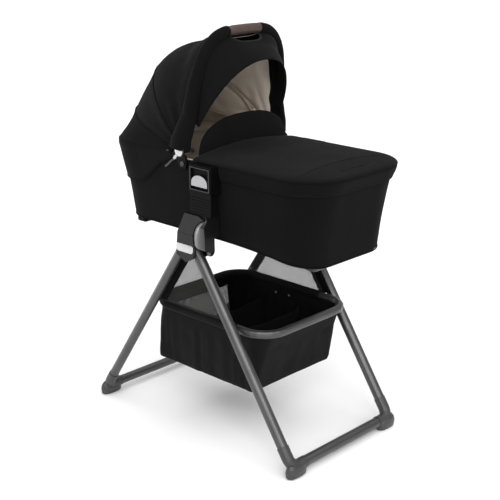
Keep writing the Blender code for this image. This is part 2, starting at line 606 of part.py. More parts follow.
def pivot_eye(obj, tag, y0, y1, radius):
    """The eye at each end of a bow, with a clear hole for the pivot stud."""
    for side, sy in SIDES:
        disc = build(f"eye_{tag}_{side}", *rod_data((CAN_X, sy * y0, CAN_Z), (CAN_X, sy * y1, CAN_Z), radius, 20), None, hide=True)
        boolean(obj, disc, "UNION")
    for side, sy in SIDES:
        bore = build(f"bore_{tag}_{side}", *rod_data((CAN_X, sy * (y0 - 0.02), CAN_Z), (CAN_X, sy * (y1 + 0.02), CAN_Z), 0.0045, 16), None, hide=True)
        boolean(obj, bore, "DIFFERENCE")


LUG_S = 0.045
handle_path = [spoke(HANDLE_ANGLE, LUG_S, -HANDLE_W)]
for i in range(33):
    s, yy = arch_point(HANDLE_ANGLE, HANDLE_R, HANDLE_W, HANDLE_N, i / 32)
    if s > LUG_S + 0.012:
        handle_path.append(spoke(HANDLE_ANGLE, s, yy))
handle_path.append(spoke(HANDLE_ANGLE, LUG_S, HANDLE_W))
handle = build("carry_handle", *sweep_data(handle_path, HANDLE_TUBE, 16), BLACK_FABRIC, PIVOT)
lug_dir = spoke(HANDLE_ANGLE, 1.0, 0.0) - spoke(HANDLE_ANGLE, 0.0, 0.0)
lug_side = Vector((lug_dir.z, 0.0, -lug_dir.x))
for side, sy in SIDES:
    outline = []
    for i in range(9):
        a = math.radians(180 + 180 * i / 8)
        q = spoke(HANDLE_ANGLE, 0.0, 0.0) + lug_side * 0.0115 * math.cos(a) + lug_dir * 0.0115 * math.sin(a)
        outline.append((q.x, q.z))
    for w in (0.0115, -0.0115):
        q = spoke(HANDLE_ANGLE, LUG_S + 0.020, 0.0) + lug_side * w
        outline.append((q.x, q.z))
    lug = build(f"lug_{side}", *prism_data(outline, sy * 0.1670, sy * 0.1862), BLACK_PLASTIC, hide=True)
    boolean(handle, lug, "UNION")
for side, sy in SIDES:
    bore = build(f"bore_handle_{side}", *rod_data((CAN_X, sy * 0.150, CAN_Z), (CAN_X, sy * 0.205, CAN_Z), 0.0045, 16), None, hide=True)
    boolean(handle, bore, "DIFFERENCE")

grip_outer = [spoke(HANDLE_ANGLE, *arch_point(HANDLE_ANGLE, HANDLE_R, HANDLE_W, HANDLE_N, 0.5 + k * 0.0088)) for k in range(-5, 6)]
grip_r = HANDLE_TUBE + 0.0026
grip = build("handle_grip", *sweep_data(grip_outer, grip_r, 18), LEATHER, PIVOT)
grip_bore_path = [spoke(HANDLE_ANGLE, *arch_point(HANDLE_ANGLE, HANDLE_R, HANDLE_W, HANDLE_N, 0.5 + k * 0.0088)) for k in range(-7, 8)]
grip_bore = build("grip_bore", *sweep_data(grip_bore_path, HANDLE_TUBE + 0.0010, 18), None, hide=True)
boolean(grip, grip_bore, "DIFFERENCE")

mid_bow = build("canopy_bow_mid", *sweep_data(bow_path(MID_ANGLE, 0.3080, 0.1775, 2.15, 0.1620, 0.1545), BOW_TUBE, 8), STEEL, PIVOT)
pivot_eye(mid_bow, "mid", 0.1592, 0.1650, 0.0088)
rear_bow = build("canopy_bow_rear", *sweep_data(bow_path(REAR_ANGLE, 0.3450, 0.1800, 2.0, 0.1545, 0.1455), BOW_TUBE, 8), STEEL, PIVOT)
pivot_eye(rear_bow, "rear", 0.1520, 0.1580, 0.0088)

LOW = 0.040
SHEET = 0.0030


def panel_grid(a0, a1, cut0, cut1, bulge, skew=1.0, rows=7, cols=25, low=LOW):
    """Cloth between two bows: each bow is (angle, radius, half width, power)."""
    grid = []
    for i in range(rows):
        k = i / (rows - 1)
        line = []
        for j in range(cols):
            radius = a0[1] * (1 - k) + a1[1] * k
            half = a0[2] * (1 - k) + a1[2] * k
            power = a0[3] * (1 - k) + a1[3] * k
            t_low = 0.5 * (2 / math.pi) * math.asin((low / radius) ** (power / 2))
            t = t_low + (1 - 2 * t_low) * j / (cols - 1)
            s, yy = arch_point(0, radius, half, power, t)
            swell = 1 + bulge * math.sin(math.pi * k ** skew)
            lo = a0[0] + math.degrees(cut0 / max(s, 0.02))
            hi = a1[0] - math.degrees(cut1 / max(s, 0.02))
            ang = lo + (hi - lo) * k
            line.append(spoke(ang, s * swell, yy * (1 + 0.5 * bulge * math.sin(math.pi * k))))
        grid.append(line)
    return grid


MID = (MID_ANGLE, 0.3175, 0.1860, 2.15)
REAR = (REAR_ANGLE, 0.3550, 0.1880, 2.0)
HAND = (HANDLE_ANGLE, 0.3030, 0.1780, 3.2)
grid = panel_grid(MID, HAND, 0.0018, HANDLE_TUBE + 0.0022, -0.060, 1.5, 8, 27)
front_panel = build("canopy_panel_front", *slab_data(grid, -SHEET), CHARCOAL_FABRIC, PIVOT)
grid = panel_grid(REAR, MID, 0.0018, 0.0018, -0.035, 1.0, 6, 25)
build("canopy_panel_mid", *slab_data(grid, -SHEET), CHARCOAL_FABRIC, PIVOT)

# rear panel: from the rear bow down over the rim, ending in a skirt round the head end
HEAD_X = -0.0760


def head_point(u, z, grow):
    """A point round the head end of the tub at height z: u runs 0 to 1 from the near side to the middle of the head end."""
    x0, x1, half, rh, rf = tub_level(min(z, RIM_Z))
    x0, half, rh = x0 - grow, half + grow, rh + grow
    straight = HEAD_X - (x0 + rh)
    total = straight + rh * math.pi / 2 + (half - rh)
    d = u * total
    if d < straight:
        return Vector((HEAD_X - d, -half, z))
    if d < straight + rh * math.pi / 2:
        a = -math.pi / 2 - (d - straight) / rh
        return Vector((x0 + rh + rh * math.cos(a), -half + rh + rh * math.sin(a), z))
    return Vector((x0, -half + rh + (d - straight - rh * math.pi / 2), z))


def hem(x):
    return 0.7880 - 0.0860 * step((-0.085 - x) / 0.16)


cols = 37
half_cols = cols // 2
t_low = (1 / math.pi) * math.asin((LOW / REAR[1]) ** (REAR[3] / 2))
grid = [[] for _ in range(6)]
for j in range(half_cols + 1):
    u = j / half_cols
    s, yy = arch_point(0, REAR[1], REAR[2], REAR[3], t_low + (0.5 - t_low) * u)
    top = spoke(REAR[0] - math.degrees(0.0018 / max(s, 0.02)), s, yy)
    wide = head_point(u, 0.8090, 0.0055)
    z_hem = hem(wide.x)
    grid[0].append(top)
    for row, k in ((1, 0.35), (2, 0.7)):
        q = top * (1 - k) + wide * k
        grid[row].append(q + Vector((q.x - CAN_X, q.y, 0.0)).normalized() * -0.004 * math.sin(math.pi * k))
    grid[3].append(wide)
    grid[4].append(head_point(u, (0.8090 + z_hem) / 2, 0.0052))
    grid[5].append(head_point(u, z_hem, 0.0044))
for row in grid:
    row += [Vector((q.x, -q.y, q.z)) for q in reversed(row[:-1])]
build("canopy_panel_rear", *slab_data(list(reversed(grid)), -SHEET), CHARCOAL_FABRIC, PIVOT)

# visor in front of the handle, with the hand slot under the grip
VIS0 = (HANDLE_ANGLE, 0.3030, 0.1600, 3.4)
VIS1 = (27.6, 0.2753, 0.1690, 2.20)
grid = panel_grid(VIS0, VIS1, HANDLE_TUBE + 0.0030, 0.0, 0.006, 1.0, 5, 25, 0.1000)
visor = build("visor", *slab_data(grid, -0.0024), CHARCOAL_FABRIC, PIVOT)
slot_mid = spoke(HANDLE_ANGLE, HANDLE_R - 0.004, 0.0)
slot = build("slot_tool", *box_data(slot_mid.x - 0.050, slot_mid.x + 0.050, -0.0560, 0.0560, slot_mid.z - 0.036, slot_mid.z + 0.060), None, hide=True)
bevel(slot, 0.016, 3)
boolean(front_panel, slot, "DIFFERENCE")
boolean(visor, slot, "DIFFERENCE")

# hubs at the canopy's pivots: a plate with a stud, and a button beside it
for side, sy in SIDES:
    y0, y1 = sy * 0.1993, sy * 0.2065
    outline = []
    for i in range(13):
        a = math.radians(180 - 180 * i / 12)
        outline.append((CAN_X + 0.0175 * math.cos(a), CAN_Z + 0.0175 * math.sin(a)))
    outline += [(-0.0200, 0.8080), (-0.0150, 0.7900), (-0.0180, 0.7740), (-0.0390, 0.7740), (-0.0500, 0.7900)]
    plate = build(f"canopy_hub_{side}", *prism_data(outline, y0, y1), BLACK_PLASTIC)
    stud = build(f"stud_{side}", *rod_data((CAN_X, sy * 0.1510, CAN_Z), (CAN_X, sy * 0.2030, CAN_Z), 0.0039, 16), None, hide=True)
    boolean(plate, stud, "UNION")
    well = build(f"well_{side}", *rod_data((-0.0300, sy * 0.2020, 0.7870), (-0.0300, sy * 0.2150, 0.7870), 0.0078, 20), None, hide=True)
    boolean(plate, well, "DIFFERENCE")
    build(f"canopy_button_{side}", *rod_data((-0.0300, sy * 0.2046, 0.7870), (-0.0300, sy * 0.2086, 0.7870), 0.0072, 20),
          SILVER, (-0.0300, sy * 0.2086, 0.7870))


# ---------------------------------------------------------------- into the object's own frame
for obj in bpy.data.objects:
    obj.location.x += FRAME_SHIFT
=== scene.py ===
"""Bassinet on a folding stand, with its cloth, padding and finishes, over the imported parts.

Metres, +Z up, +X to the foot end, -Y the near side. Points are laid out with X = 0
where the legs' centre lines cross, and SHIFT takes them into the object's frame.
"""

import math

import bmesh
import bpy
import numpy as np
from mathutils import Matrix, Vector, noise


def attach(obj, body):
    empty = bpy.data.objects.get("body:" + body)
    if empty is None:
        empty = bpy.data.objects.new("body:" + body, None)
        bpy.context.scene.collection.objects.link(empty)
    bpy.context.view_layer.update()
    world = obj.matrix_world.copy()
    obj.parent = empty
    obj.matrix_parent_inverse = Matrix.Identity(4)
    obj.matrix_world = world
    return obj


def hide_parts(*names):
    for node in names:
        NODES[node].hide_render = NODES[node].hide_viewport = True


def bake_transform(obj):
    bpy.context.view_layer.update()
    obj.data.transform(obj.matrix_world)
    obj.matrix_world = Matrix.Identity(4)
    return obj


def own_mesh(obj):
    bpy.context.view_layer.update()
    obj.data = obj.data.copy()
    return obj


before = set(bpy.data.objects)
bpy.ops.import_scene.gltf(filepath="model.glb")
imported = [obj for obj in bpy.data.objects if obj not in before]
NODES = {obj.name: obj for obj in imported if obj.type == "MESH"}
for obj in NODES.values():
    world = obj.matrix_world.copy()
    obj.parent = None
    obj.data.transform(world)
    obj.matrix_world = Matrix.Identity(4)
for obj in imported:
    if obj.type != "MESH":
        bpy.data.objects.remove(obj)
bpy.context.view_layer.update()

SHIFT = -0.0197
HALF_SPREAD, APEX_Z, BAR_Z, LEG_Y = 0.380, 0.5953, 0.0279, 0.2115
SLOPE = HALF_SPREAD / (APEX_Z - BAR_Z)
RING_Z, RING_R, RING_HALF_W, RING_X0, RING_X1, RING_CORNER = 0.3510, 0.0118, 0.1790, -0.1900, 0.2520, 0.070
SLEEVE_X, BAG_FLOOR_Z = 0.1450, 0.1680
TUB_FLOOR_Z, RIM_Z, MATTRESS_TOP = 0.5850, 0.7965, 0.6380
HOUSING_X0, HOUSING_X1 = 0.0225, 0.1045
HUB_FRONT, HUB_TOP = 0.2365, 0.6640
CAN_X, CAN_Z = -0.0468, 0.8134
HANDLE_ANGLE, HANDLE_R, HANDLE_W, HANDLE_N, HANDLE_TUBE = 8.5, 0.3215, 0.1735, 3.67, 0.0143
MID_ANGLE, REAR_ANGLE = -49.0, -78.4
SIDES = (("near", -1.0), ("far", 1.0))


# ---------------------------------------------------------------- camera
def place_camera():
    data = bpy.data.cameras.new("camera")
    data.sensor_width, data.lens = 36.0, 79.68
    data.clip_start, data.clip_end = 0.05, 300.0
    cam = bpy.data.objects.new("camera", data)
    bpy.context.scene.collection.objects.link(cam)
    yaw, pitch, roll = 0.758, 0.3107, 0.0019
    fw = Vector((-math.sin(yaw) * math.cos(pitch), math.cos(yaw) * math.cos(pitch), -math.sin(pitch)))
    rt = Vector((math.cos(yaw), math.sin(yaw), 0.0))
    up = rt.cross(fw)
    c, s = math.cos(roll), math.sin(roll)
    rt, up = rt * c + up * s, up * c - rt * s
    m = Matrix.Identity(4)
    for i, axis in enumerate((rt, up, -fw)):
        m[0][i], m[1][i], m[2][i] = axis
    m[0][3], m[1][3], m[2][3] = 2.0797, -2.1905, 1.4765
    cam.matrix_world = m
    bpy.context.scene.camera = cam


place_camera()


# ---------------------------------------------------------------- materials
class Paint:
    """A small helper that adds nodes to a material and joins them."""

    def __init__(self, name):
        self.mat = bpy.data.materials.new(name)
        self.mat.use_nodes = True
        self.tree = self.mat.node_tree
        self.bsdf = self.tree.nodes["Principled BSDF"]

    def node(self, kind, **settings):
        n = self.tree.nodes.new(kind)
        for key, value in settings.items():
            if hasattr(n, key):
                setattr(n, key, value)
            else:
                n.inputs[key.replace("_", " ")].default_value = value
        return n

    def link(self, a, b):
        self.tree.links.new(a, b)

    def math(self, operation, a, b=None, c=None, clamp=False):
        n = self.tree.nodes.new("ShaderNodeMath")
        n.operation, n.use_clamp = operation, clamp
        for socket, value in zip(n.inputs, (a, b, c)):
            if value is None:
                continue
            if isinstance(value, (int, float)):
                socket.default_value = value
            else:
                self.link(value, socket)
        return n.outputs[0]

    def coords(self, kind, scale=(1, 1, 1), rotation=(0, 0, 0)):
        source = self.tree.nodes.new("ShaderNodeTexCoord")
        mapping = self.tree.nodes.new("ShaderNodeMapping")
        mapping.inputs["Scale"].default_value = scale
        mapping.inputs["Rotation"].default_value = rotation
        self.link(source.outputs[kind], mapping.inputs["Vector"])
        return mapping.outputs["Vector"]

    def noise(self, vector, scale, detail=2.0, rough=0.5):
        n = self.tree.nodes.new("ShaderNodeTexNoise")
        n.inputs["Scale"].default_value = scale
        n.inputs["Detail"].default_value = detail
        n.inputs["Roughness"].default_value = rough
        self.link(vector, n.inputs["Vector"])
        return n.outputs["Fac"]

    def ramp(self, value, stops):
        n = self.tree.nodes.new("ShaderNodeValToRGB")
        while len(n.color_ramp.elements) < len(stops):
            n.color_ramp.elements.new(0.5)
        for element, (place, colour) in zip(n.color_ramp.elements, stops):
            element.position = place
            element.color = (*colour, 1.0) if len(colour) == 3 else colour
        self.link(value, n.inputs["Fac"])
        return n.outputs["Color"]

    def mix(self, fac, a, b, blend="MIX"):
        n = self.tree.nodes.new("ShaderNodeMix")
        n.data_type, n.blend_type = "RGBA", blend
        for index, value in ((0, fac), (6, a), (7, b)):
            if isinstance(value, (int, float)):
                n.inputs[index].default_value = value
            elif isinstance(value, tuple):
                n.inputs[index].default_value = (*value, 1.0)
            else:
                self.link(value, n.inputs[index])
        return n.outputs[2]

    def bump(self, height, distance, strength, normal=None):
        n = self.tree.nodes.new("ShaderNodeBump")
        n.inputs["Distance"].default_value = distance
        n.inputs["Strength"].default_value = strength
        self.link(height, n.inputs["Height"])
        if normal is not None:
            self.link(normal, n.inputs["Normal"])
        return n.outputs["Normal"]

    def weave(self, vector):
        """A plain weave in the vector's X and Y, one thread pair to the unit: 0 to 1."""
        split = self.tree.nodes.new("ShaderNodeSeparateXYZ")
        self.link(vector, split.inputs[0])
        u = self.math("SINE", self.math("MULTIPLY", split.outputs["X"], 2 * math.pi))
        v = self.math("SINE", self.math("MULTIPLY", split.outputs["Y"], 2 * math.pi))
        return self.math("MULTIPLY_ADD", self.math("MULTIPLY", u, v), 0.5, 0.5)


def cloth(name, dark, light, pitch=0.0013, bump=0.5, rough=0.9, sheen=0.2, melange=0.35, sheen_tint=(1, 1, 1), shine=0.25):
    """Woven cloth: threads, slubs in both directions, and slow changes of tone."""
    p = Paint(name)
    uv = p.coords("UV", (1 / pitch, 1 / pitch, 1))
    threads = p.weave(uv)
    slub_u = p.noise(p.coords("UV", (60, 1400, 1)), 1.0, 2.0)
    slub_v = p.noise(p.coords("UV", (1400, 60, 1)), 1.0, 2.0)
    slub = p.math("MULTIPLY_ADD", p.math("ADD", slub_u, slub_v), 0.5, 0.0)
    tone = p.math("ADD", p.math("MULTIPLY", threads, 1 - melange), p.math("MULTIPLY", slub, melange))
    slow = p.noise(p.coords("Object"), 9.0, 3.0)
    tone = p.math("ADD", tone, p.math("MULTIPLY_ADD", slow, 0.5, -0.25), clamp=True)
    colour = p.ramp(tone, [(0.15, dark), (0.85, light)])
    p.link(colour, p.bsdf.inputs["Base Color"])
    height = p.math("ADD", p.math("MULTIPLY", threads, 0.75), p.math("MULTIPLY", slub, 0.5))
    p.link(p.bump(height, pitch * 0.35, bump), p.bsdf.inputs["Normal"])
    p.bsdf.inputs["Roughness"].default_value = rough
    p.bsdf.inputs["Specular IOR Level"].default_value = shine
    p.bsdf.inputs["Sheen Weight"].default_value = sheen
    p.bsdf.inputs["Sheen Roughness"].default_value = 0.45
    p.bsdf.inputs["Sheen Tint"].default_value = (*sheen_tint, 1.0)
    p.mat.diffuse_color = (*light, 1.0)
    return p.mat


def moulding(name, colour, rough=0.45, grain=1100.0, depth=0.12, metal=0.0, vary=0.25, coat=0.0, shine=0.5):
    """Moulded plastic: a fine spark-eroded grain, with slow changes of gloss and rubbed tones."""
    p = Paint(name)
    at = p.coords("Object")
    fine = p.noise(at, grain, 2.0, 0.6)
    slow = p.noise(at, 22.0, 4.0, 0.6)
    low, high = tuple(c * (1 - vary) for c in colour), tuple(c * (1 + vary) for c in colour)
    tone = p.math("ADD", p.math("MULTIPLY", fine, 0.35), p.math("MULTIPLY", slow, 0.65))
    p.link(p.ramp(tone, [(0.32, low), (0.68, high)]), p.bsdf.inputs["Base Color"])
    p.link(p.bump(fine, 0.0003, depth), p.bsdf.inputs["Normal"])
    gloss = p.math("MULTIPLY_ADD", slow, 0.16, rough - 0.08)
    p.link(gloss, p.bsdf.inputs["Roughness"])
    p.bsdf.inputs["Metallic"].default_value = metal
    p.bsdf.inputs["Specular IOR Level"].default_value = shine
    p.bsdf.inputs["Coat Weight"].default_value = coat
    p.bsdf.inputs["Coat Roughness"].default_value = 0.18
    p.mat.diffuse_color = (*colour, 1.0)
    return p.mat


def lacquer(name, colour, rough=0.34, metal=0.9, flakes=0.22):
    """Metallic lacquer on tube: fine flakes, an orange-peel skin and faint scuffs along the tube."""
    p = Paint(name)
    at = p.coords("Object")
    cells = p.tree.nodes.new("ShaderNodeTexVoronoi")
    cells.inputs["Scale"].default_value = 1700.0
    p.link(at, cells.inputs["Vector"])
    flake = p.tree.nodes.new("ShaderNodeSeparateColor")
    p.link(cells.outputs["Color"], flake.inputs[0])
    slow = p.noise(at, 14.0, 5.0, 0.6)
    tone = p.math("ADD", p.math("MULTIPLY", flake.outputs[0], flakes * 1.6), p.math("MULTIPLY", slow, 1 - flakes))
    low, high = tuple(c * 0.72 for c in colour), tuple(c * 1.3 for c in colour)
    p.link(p.ramp(tone, [(0.2, low), (0.85, high)]), p.bsdf.inputs["Base Color"])
    peel = p.noise(at, 260.0, 2.0)
    p.link(p.bump(peel, 0.0003, 0.06), p.bsdf.inputs["Normal"])
    scuff = p.noise(p.coords("Object", (40, 40, 400)), 1.0, 4.0, 0.7)
    p.link(p.math("MULTIPLY_ADD", scuff, 0.18, rough - 0.09), p.bsdf.inputs["Roughness"])
    p.bsdf.inputs["Metallic"].default_value = metal
    p.bsdf.inputs["Coat Weight"].default_value = 0.15
    p.bsdf.inputs["Coat Roughness"].default_value = 0.3
    p.mat.diffuse_color = (*colour, 1.0)
    return p.mat


def bright(name, colour, rough=0.25):
    """Brushed or plated trim, with fine lines and fingerprints in its gloss."""
    p = Paint(name)
    lines = p.noise(p.coords("Object", (90, 90, 3200)), 1.0, 3.0, 0.6)
    smear = p.noise(p.coords("Object"), 60.0, 3.0)
    low, high = tuple(c * 0.86 for c in colour), tuple(min(1.0, c * 1.08) for c in colour)
    p.link(p.ramp(lines, [(0.3, low), (0.7, high)]), p.bsdf.inputs["Base Color"])
    p.link(p.bump(lines, 0.0001, 0.12), p.bsdf.inputs["Normal"])
    p.link(p.math("MULTIPLY_ADD", smear, 0.2, rough - 0.1), p.bsdf.inputs["Roughness"])
    p.bsdf.inputs["Metallic"].default_value = 1.0
    p.mat.diffuse_color = (*colour, 1.0)
    return p.mat


def leather(name, dark, light):
    """Grained leather: pebbled cells with creases, darker in the valleys and rubbed on the crowns."""
    p = Paint(name)
    at = p.coords("Object")
    cells = p.tree.nodes.new("ShaderNodeTexVoronoi")
    cells.feature = "DISTANCE_TO_EDGE"
    cells.inputs["Scale"].default_value = 520.0
    p.link(at, cells.inputs["Vector"])
    edge = p.math("MULTIPLY", cells.outputs["Distance"], 3.0, clamp=True)
    crease = p.noise(at, 150.0, 5.0, 0.65)
    slow = p.noise(at, 34.0, 3.0)
    tone = p.math("ADD", p.math("MULTIPLY", edge, 0.45), p.math("MULTIPLY", slow, 0.55))
    p.link(p.ramp(tone, [(0.2, dark), (0.8, light)]), p.bsdf.inputs["Base Color"])
    height = p.math("ADD", p.math("MULTIPLY", edge, 0.7), p.math("MULTIPLY", crease, 0.5))
    p.link(p.bump(height, 0.0005, 0.45), p.bsdf.inputs["Normal"])
    p.link(p.math("MULTIPLY_ADD", crease, 0.2, 0.4), p.bsdf.inputs["Roughness"])
    p.bsdf.inputs["Specular IOR Level"].default_value = 0.4
    p.mat.diffuse_color = (*light, 1.0)
    return p.mat


def netting(name, dark, light, pitch=0.0030, hole=0.30):
    """Open knitted mesh: diamond holes between threads, which show what is behind."""
    p = Paint(name)
    split = p.tree.nodes.new("ShaderNodeSeparateXYZ")
    p.link(p.coords("UV", (1 / pitch, 1 / pitch, 1), (0, 0, math.radians(45))), split.inputs[0])
    u = p.math("ABSOLUTE", p.math("SINE", p.math("MULTIPLY", split.outputs["X"], math.pi)))
    v = p.math("ABSOLUTE", p.math("SINE", p.math("MULTIPLY", split.outputs["Y"], math.pi)))
    deep = p.math("MINIMUM", u, v)
    thread = p.math("LESS_THAN", deep, 1 - hole)
    fibre = p.noise(p.coords("UV", (900, 900, 1)), 1.0, 2.0)
    slow = p.noise(p.coords("Object"), 12.0, 2.0)
    tone = p.math("ADD", p.math("MULTIPLY", fibre, 0.6), p.math("MULTIPLY", slow, 0.4))
    p.link(p.ramp(tone, [(0.3, dark), (0.7, light)]), p.bsdf.inputs["Base Color"])
    p.link(p.bump(deep, 0.0006, 0.4), p.bsdf.inputs["Normal"])
    p.link(thread, p.bsdf.inputs["Alpha"])
    p.bsdf.inputs["Roughness"].default_value = 0.85
    p.bsdf.inputs["Specular IOR Level"].default_value = 0.2
    p.mat.diffuse_color = (*light, 1.0)
    return p.mat


GRAPHITE = lacquer("graphite_lacquer", (0.086, 0.084, 0.086), 0.38, 0.85)
HUB_SHELL = moulding("graphite_shell", (0.0066, 0.0064, 0.0066), 0.30, 1300.0, 0.03, 0.0, 0.16, 0.0, 0.27)
BLADE_SHELL = moulding("graphite_blade", (0.0085, 0.0083, 0.0085), 0.26, 1300.0, 0.02, 0.0, 0.16, 0.5, 0.5)
FOOT_SHELL = moulding("graphite_foot", (0.040, 0.039, 0.040), 0.40, 1000.0, 0.14, 0.15, 0.18)
BLACK_SHELL = moulding("black_moulding_skin", (0.0022, 0.0022, 0.0023), 0.45, 1000.0, 0.14, 0.0, 0.25, 0.0, 0.07)
BRACKET = moulding("bracket_skin", (0.0040, 0.0039, 0.0040), 0.42, 1100.0, 0.10, 0.0, 0.2, 0.0, 0.16)
BEZEL = moulding("dark_bezel", (0.022, 0.022, 0.023), 0.30, 1300.0, 0.05, 0.2)
SATIN_SILVER = bright("satin_silver", (0.42, 0.42, 0.43), 0.30)
CHROME = bright("chrome_trim", (0.58, 0.58, 0.59), 0.20)
STEEL = bright("plain_steel", (0.36, 0.36, 0.37), 0.32)
BLACK = cloth("black_twill", (0.0019, 0.0018, 0.0019), (0.0060, 0.0057, 0.0058), 0.0012, 0.5, 0.92, 0.018, 0.35, (1, 1, 1), 0.07)
# charcoal twill, a touch lighter than the black twill: partly the cloth's own tone, partly painted light for faces
# turned up to the lamps
CHARCOAL_PAINTED_LIGHT = cloth("charcoal_twill_painted_light", (0.0022, 0.0021, 0.0021), (0.0072, 0.0068, 0.0069), 0.0012, 0.5, 0.90, 0.024, 0.35, (1, 1, 1), 0.07)
BAG_CLOTH = cloth("basket_ripstop", (0.0013, 0.0012, 0.0013), (0.0040, 0.0038, 0.0040), 0.0010, 0.4, 0.72, 0.015, 0.35, (1, 1, 1), 0.12)
BINDING = cloth("black_binding", (0.0014, 0.0014, 0.0014), (0.0045, 0.0043, 0.0045), 0.0009, 0.7, 0.85, 0.01, 0.35, (1, 1, 1), 0.08)
WEBBING = cloth("grey_webbing", (0.045, 0.042, 0.039), (0.100, 0.094, 0.088), 0.0011, 0.7, 0.8, 0.05)
LIP = cloth("slot_rim_cloth", (0.0070, 0.0066, 0.0066), (0.0190, 0.0180, 0.0180), 0.0009, 0.6, 0.8, 0.03, 0.35, (1, 1, 1), 0.1)
THREAD = cloth("black_thread", (0.0040, 0.0040, 0.0040), (0.0120, 0.0115, 0.0115), 0.0004, 0.4, 0.7, 0.02, 0.35, (1, 1, 1), 0.1)
TAUPE = cloth("taupe_lining_cloth", (0.53, 0.455, 0.375), (0.80, 0.71, 0.60), 0.0011, 0.45, 0.93, 0.2, 0.45, (1.0, 0.93, 0.84))
# the same taupe darkened: painted shade for lining deep in the tub and under the canopy
TAUPE_PAINTED_SHADE = cloth("taupe_cloth_painted_shade", (0.31, 0.255, 0.205), (0.49, 0.415, 0.340), 0.0011, 0.45, 0.93, 0.12, 0.45, (1.0, 0.93, 0.84))
TAUPE_THREAD = cloth("taupe_thread", (0.42, 0.37, 0.30), (0.62, 0.56, 0.48), 0.0004, 0.4, 0.8, 0.1)
QUILT = cloth("mattress_knit", (0.48, 0.45, 0.40), (0.66, 0.63, 0.57), 0.0015, 0.6, 0.95, 0.2, 0.4)
MESH = netting("grey_netting", (0.016, 0.0155, 0.015), (0.034, 0.033, 0.032), 0.0028, 0.47)
GRIP = leather("brown_leather", (0.036, 0.021, 0.018), (0.086, 0.052, 0.044))
GRIP_THREAD = cloth("brown_thread", (0.05, 0.03, 0.025), (0.11, 0.07, 0.06), 0.0004, 0.4, 0.7, 0.05)
BOARD = moulding("base_board_skin", (0.030, 0.029, 0.028), 0.7, 600.0, 0.3)


# ---------------------------------------------------------------- mesh building
def make(name, verts, faces, mats, uv=None, wrap=None, face_mats=None, sharp=None):
    """A mesh object from layout points. uv is one pair a vertex, and wrap the width at which u starts again."""
    verts = np.asarray(verts, float).reshape(-1, 3).copy()
    verts[:, 0] += SHIFT
    mesh = bpy.data.meshes.new(name)
    mesh.from_pydata(verts.tolist(), [], [tuple(int(i) for i in f) for f in faces])
    for mat in mats if isinstance(mats, (list, tuple)) else [mats]:
        mesh.materials.append(mat)
    layer = mesh.uv_layers.new(name="UVMap")
    loops = np.empty(len(mesh.loops), np.int32)
    mesh.loops.foreach_get("vertex_index", loops)
    if uv is None:
        normals = np.empty(len(mesh.polygons) * 3, np.float32)
        mesh.polygons.foreach_get("normal", normals)
        sizes = np.empty(len(mesh.polygons), np.int32)
        mesh.polygons.foreach_get("loop_total", sizes)
        main = np.repeat(np.abs(normals.reshape(-1, 3)).argmax(1), sizes)
        p = verts[loops]
        pairs = np.where(main[:, None] == 0, p[:, [1, 2]], np.where(main[:, None] == 1, p[:, [0, 2]], p[:, [0, 1]]))
    else:
        pairs = np.asarray(uv, float)[loops]
        if wrap:
            start = 0
            for poly in mesh.polygons:
                part = pairs[start:start + poly.loop_total, 0]
                if part.max() - part.min() > wrap / 2:
                    part[part < wrap / 2] += wrap
                start += poly.loop_total
    layer.data.foreach_set("uv", pairs.astype(np.float32).ravel())
    mesh.shade_smooth()
    if face_mats is not None:
        mesh.polygons.foreach_set("material_index", np.asarray(face_mats, np.int32))
    if sharp:
        mesh.set_sharp_from_angle(angle=math.radians(sharp))
    obj = bpy.data.objects.new(name, mesh)
    bpy.context.scene.collection.objects.link(obj)
    return obj


def resample(points, n, closed=False):
    p = np.asarray(points, float)
    if closed:
        p = np.vstack([p, p[:1]])
    d = np.concatenate([[0], np.cumsum(np.linalg.norm(np.diff(p, axis=0), axis=1))])
    at = np.linspace(0, d[-1], n + 1)[:-1] if closed else np.linspace(0, d[-1], n)
    return np.stack([np.interp(at, d, p[:, k]) for k in range(p.shape[1])], 1)


def length_of(points):
    p = np.asarray(points, float)
    return float(np.linalg.norm(np.diff(p, axis=0), axis=1).sum())


def carried(points, closed=False, first=(0, 1, 0)):
    """Tangents and two cross directions along a line, without twist."""
    p = np.asarray(points, float)
    if closed:
        t = np.roll(p, -1, 0) - np.roll(p, 1, 0)
    else:
        t = np.gradient(p, axis=0)
    t /= np.linalg.norm(t, axis=1)[:, None] + 1e-12
    side = np.asarray(first, float)
    if abs(side @ t[0]) > 0.9:
        side = np.array([0, 0, 1.0])
    out = []
    for row in t:
        side = side - row * (side @ row)
        side /= np.linalg.norm(side)
        out.append(side.copy())
    a = np.array(out)
    return t, a, np.cross(t, a)


def tube_data(points, radius, sides=10, closed=False, flat=1.0, first=(0, 1, 0), cap=True):
    """radius is a number or one for each point; flat scales the second cross direction."""
    p = np.asarray(points, float)
    n = len(p)
    _, a, b = carried(p, closed, first)
    r = np.broadcast_to(np.asarray(radius, float), (n,))
    f = np.broadcast_to(np.asarray(flat, float), (n,))
    ang = 2 * np.pi * np.arange(sides) / sides
    v = p[:, None] + r[:, None, None] * (np.cos(ang)[None, :, None] * a[:, None] + (np.sin(ang)[None, :, None] * f[:, None, None]) * b[:, None])
    along = np.concatenate([[0], np.cumsum(np.linalg.norm(np.diff(p, axis=0), axis=1))])
    uv = np.stack([np.broadcast_to(np.arange(sides) / sides * 2 * np.pi * float(r.mean()), (n, sides)),
                   np.broadcast_to(along[:, None], (n, sides))], -1)
    faces = []
    rows = n if closed else n - 1
    for i in range(rows):
        j = (i + 1) % n
        for k in range(sides):
            m = (k + 1) % sides
            faces.append((i * sides + k, i * sides + m, j * sides + m, j * sides + k))
    if not closed and cap:
        faces += [tuple(range(sides - 1, -1, -1)), tuple((n - 1) * sides + k for k in range(sides))]
    return v.reshape(-1, 3), faces, uv.reshape(-1, 2), 2 * np.pi * float(r.mean())


